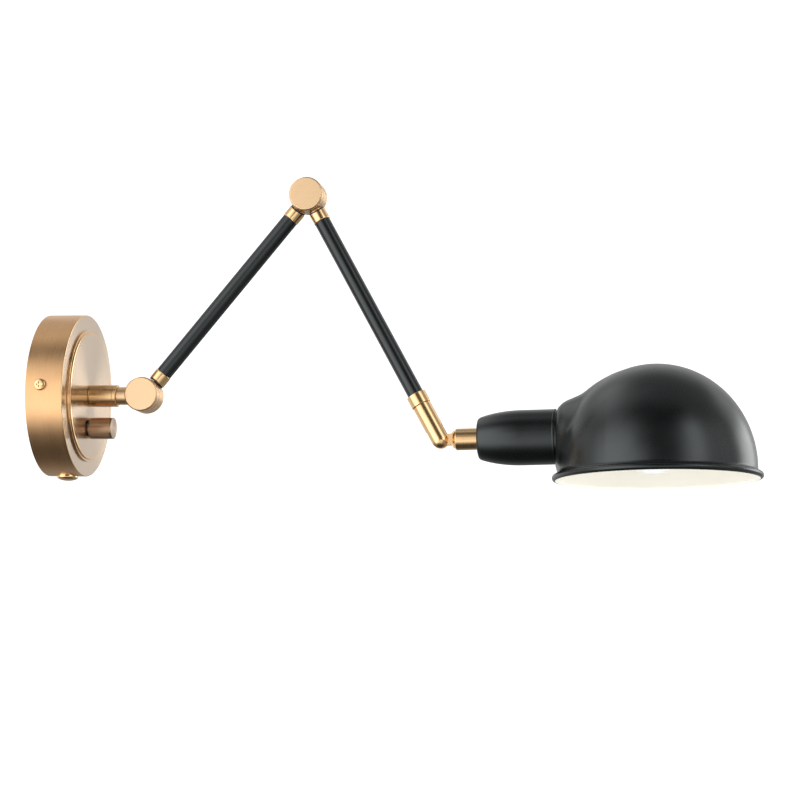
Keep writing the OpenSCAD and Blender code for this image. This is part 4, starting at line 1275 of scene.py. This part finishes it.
class WALLLIGHT_OT_stage(Operator):
    """Set the floor, the studio light and the camera"""

    bl_idname = "wall_light.stage"
    bl_label = "Stage"

    def execute(self, context):
        sizes = context.scene.wall_light_sizes
        pick_none()
        bpy.ops.mesh.primitive_circle_add(
            vertices=96, radius=30.0, fill_type="NGON", location=(0.3, 0, -sizes.floor_drop)
        )
        floor = bpy.context.object
        floor.name = "studio_floor"
        bpy.ops.object.transform_apply(location=True, rotation=True, scale=True)
        paper = Finish("studio paper", Roughness=0.9)
        cloud = paper.noise(paper.coordinates(), 1.5, detail=5.0)
        paper.mottle(cloud, (1, 1, 1), 0.93, 0.96)
        floor.data.materials.append(paper.material)
        floor.visible_glossy = False
        self.surround(context.scene)
        for softbox in SOFTBOXES:
            self.softbox(*softbox)
        self.camera(context.scene)
        context.scene.view_settings.view_transform = "Standard"
        return {"FINISHED"}

    def surround(self, scene):
        """White to the camera and for soft light; for gloss a studio of panels in a grey room."""
        world = bpy.data.worlds.new("studio")
        world.use_nodes = True
        world.cycles.sampling_method = "NONE"
        scene.world = world
        world.node_tree.nodes.clear()
        room = Nodes(world.node_tree)
        math = room.math

        def step(value, start, end):
            inputs = {"Value": value, "From Min": start, "From Max": end}
            return room.node("ShaderNodeMapRange", inputs, interpolation_type="SMOOTHSTEP").outputs[0]

        def window(value, low, high, soft):
            ends = [step(value, end - soft, end + soft) for end in (low, high)]
            return math("SUBTRACT", *ends)

        x, y, z = room.split(room.node("ShaderNodeTexCoord").outputs["Generated"])
        to_degrees = 180 / pi
        front = math("MULTIPLY", math("ARCTAN2", x, math("MULTIPLY", y, -1.0)), to_degrees)
        back = math("MULTIPLY", math("ARCTAN2", x, y), to_degrees)
        height = math("MULTIPLY", math("ARCSINE", z), to_degrees)
        rise = math("MULTIPLY", step(height, *SKIRTING), ROOM_WALL - ROOM_FLOOR)
        total = math("ADD", ROOM_FLOOR, rise)
        for angle, low, high, soft, bottom, top, edge, strength in PANELS:
            turn = front if angle == "front" else back
            panel = math("MULTIPLY", window(turn, low, high, soft), window(height, bottom, top, edge))
            total = math("ADD", total, math("MULTIPLY", panel, strength))
        studio = room.node("ShaderNodeBackground", {"Color": math("MAXIMUM", total)})
        white = room.node("ShaderNodeBackground", {"Color": (1, 1, 1, 1), "Strength": WHITE_ROOM})
        glossy = room.node("ShaderNodeLightPath").outputs["Is Glossy Ray"]
        mix = room.node("ShaderNodeMixShader", {0: glossy, 1: white.outputs[0], 2: studio.outputs[0]})
        room.node("ShaderNodeOutputWorld", {"Surface": mix.outputs[0]})

    def softbox(self, name, place, width, height, brightness):
        """A rectangular soft light of the given brightness, facing the object."""
        light = bpy.data.lights.new(name, "AREA")
        light.shape = "RECTANGLE"
        light.size, light.size_y = width, height
        light.energy = brightness * width * height * pi
        box = bpy.data.objects.new(name, light)
        bpy.context.scene.collection.objects.link(box)
        box.location = place
        box.rotation_euler = (LOOK_AT - Vector(place)).to_track_quat("-Z", "Y").to_euler()
        box.visible_camera = False
        box.visible_glossy = False

    def camera(self, scene):
        """The camera at the photograph's viewing angle."""
        azimuth, elevation, roll = map(radians, (CAMERA_AZIMUTH, CAMERA_ELEVATION, CAMERA_ROLL))
        right = Vector((cos(azimuth), sin(azimuth), 0))
        back = Vector((sin(azimuth) * cos(elevation), -cos(azimuth) * cos(elevation), sin(elevation)))
        up = back.cross(right)
        across = right * cos(roll) + up * sin(roll)
        upright = -right * sin(roll) + up * cos(roll)
        lens = bpy.data.cameras.new("photo camera")
        lens.sensor_width = SENSOR
        lens.lens = LENS
        lens.clip_start, lens.clip_end = 0.05, 100.0
        camera = bpy.data.objects.new("photo camera", lens)
        scene.collection.objects.link(camera)
        frame_axes = Matrix((across, upright, back)).transposed().to_4x4()
        camera.matrix_world = Matrix.Translation(CAMERA_PLACE) @ frame_axes
        scene.camera = camera


OPERATORS = (
    WALLLIGHT_OT_finishes,
    WALLLIGHT_OT_canopy,
    WALLLIGHT_OT_fittings,
    WALLLIGHT_OT_stem,
    WALLLIGHT_OT_arms,
    WALLLIGHT_OT_knuckles,
    WALLLIGHT_OT_clevis,
    WALLLIGHT_OT_cup,
    WALLLIGHT_OT_shade,
    WALLLIGHT_OT_bulb,
    WALLLIGHT_OT_knob,
    WALLLIGHT_OT_stage,
)


class WALLLIGHT_PT_panel(Panel):
    """Sizes, colours and the operators in order"""

    bl_idname = "WALLLIGHT_PT_panel"
    bl_label = "Wall light"
    bl_space_type = "VIEW_3D"
    bl_region_type = "UI"
    bl_category = "Wall light"

    def draw(self, context):
        for group in (context.scene.wall_light_sizes, context.scene.wall_light_colours):
            for key in group.__annotations__:
                self.layout.prop(group, key)
        for operator in OPERATORS:
            self.layout.operator(operator.bl_idname)


CLASSES = (WallLightSizes, WallLightColours, *OPERATORS, WALLLIGHT_PT_panel)


def register():
    for cls in CLASSES:
        bpy.utils.register_class(cls)
    bpy.types.Scene.wall_light_sizes = PointerProperty(type=WallLightSizes)
    bpy.types.Scene.wall_light_colours = PointerProperty(type=WallLightColours)


def unregister():
    del bpy.types.Scene.wall_light_colours
    del bpy.types.Scene.wall_light_sizes
    for cls in reversed(CLASSES):
        bpy.utils.unregister_class(cls)


def main():
    register()
    bpy.ops.wall_light.finishes()
    bpy.ops.wall_light.canopy()
    bpy.ops.wall_light.fittings()
    bpy.ops.wall_light.stem()
    bpy.ops.wall_light.arms()
    bpy.ops.wall_light.knuckles()
    bpy.ops.wall_light.clevis()
    bpy.ops.wall_light.cup()
    bpy.ops.wall_light.shade()
    bpy.ops.wall_light.bulb()
    bpy.ops.wall_light.knob()
    bpy.ops.wall_light.stage()


if __name__ == "__main__":
    main()
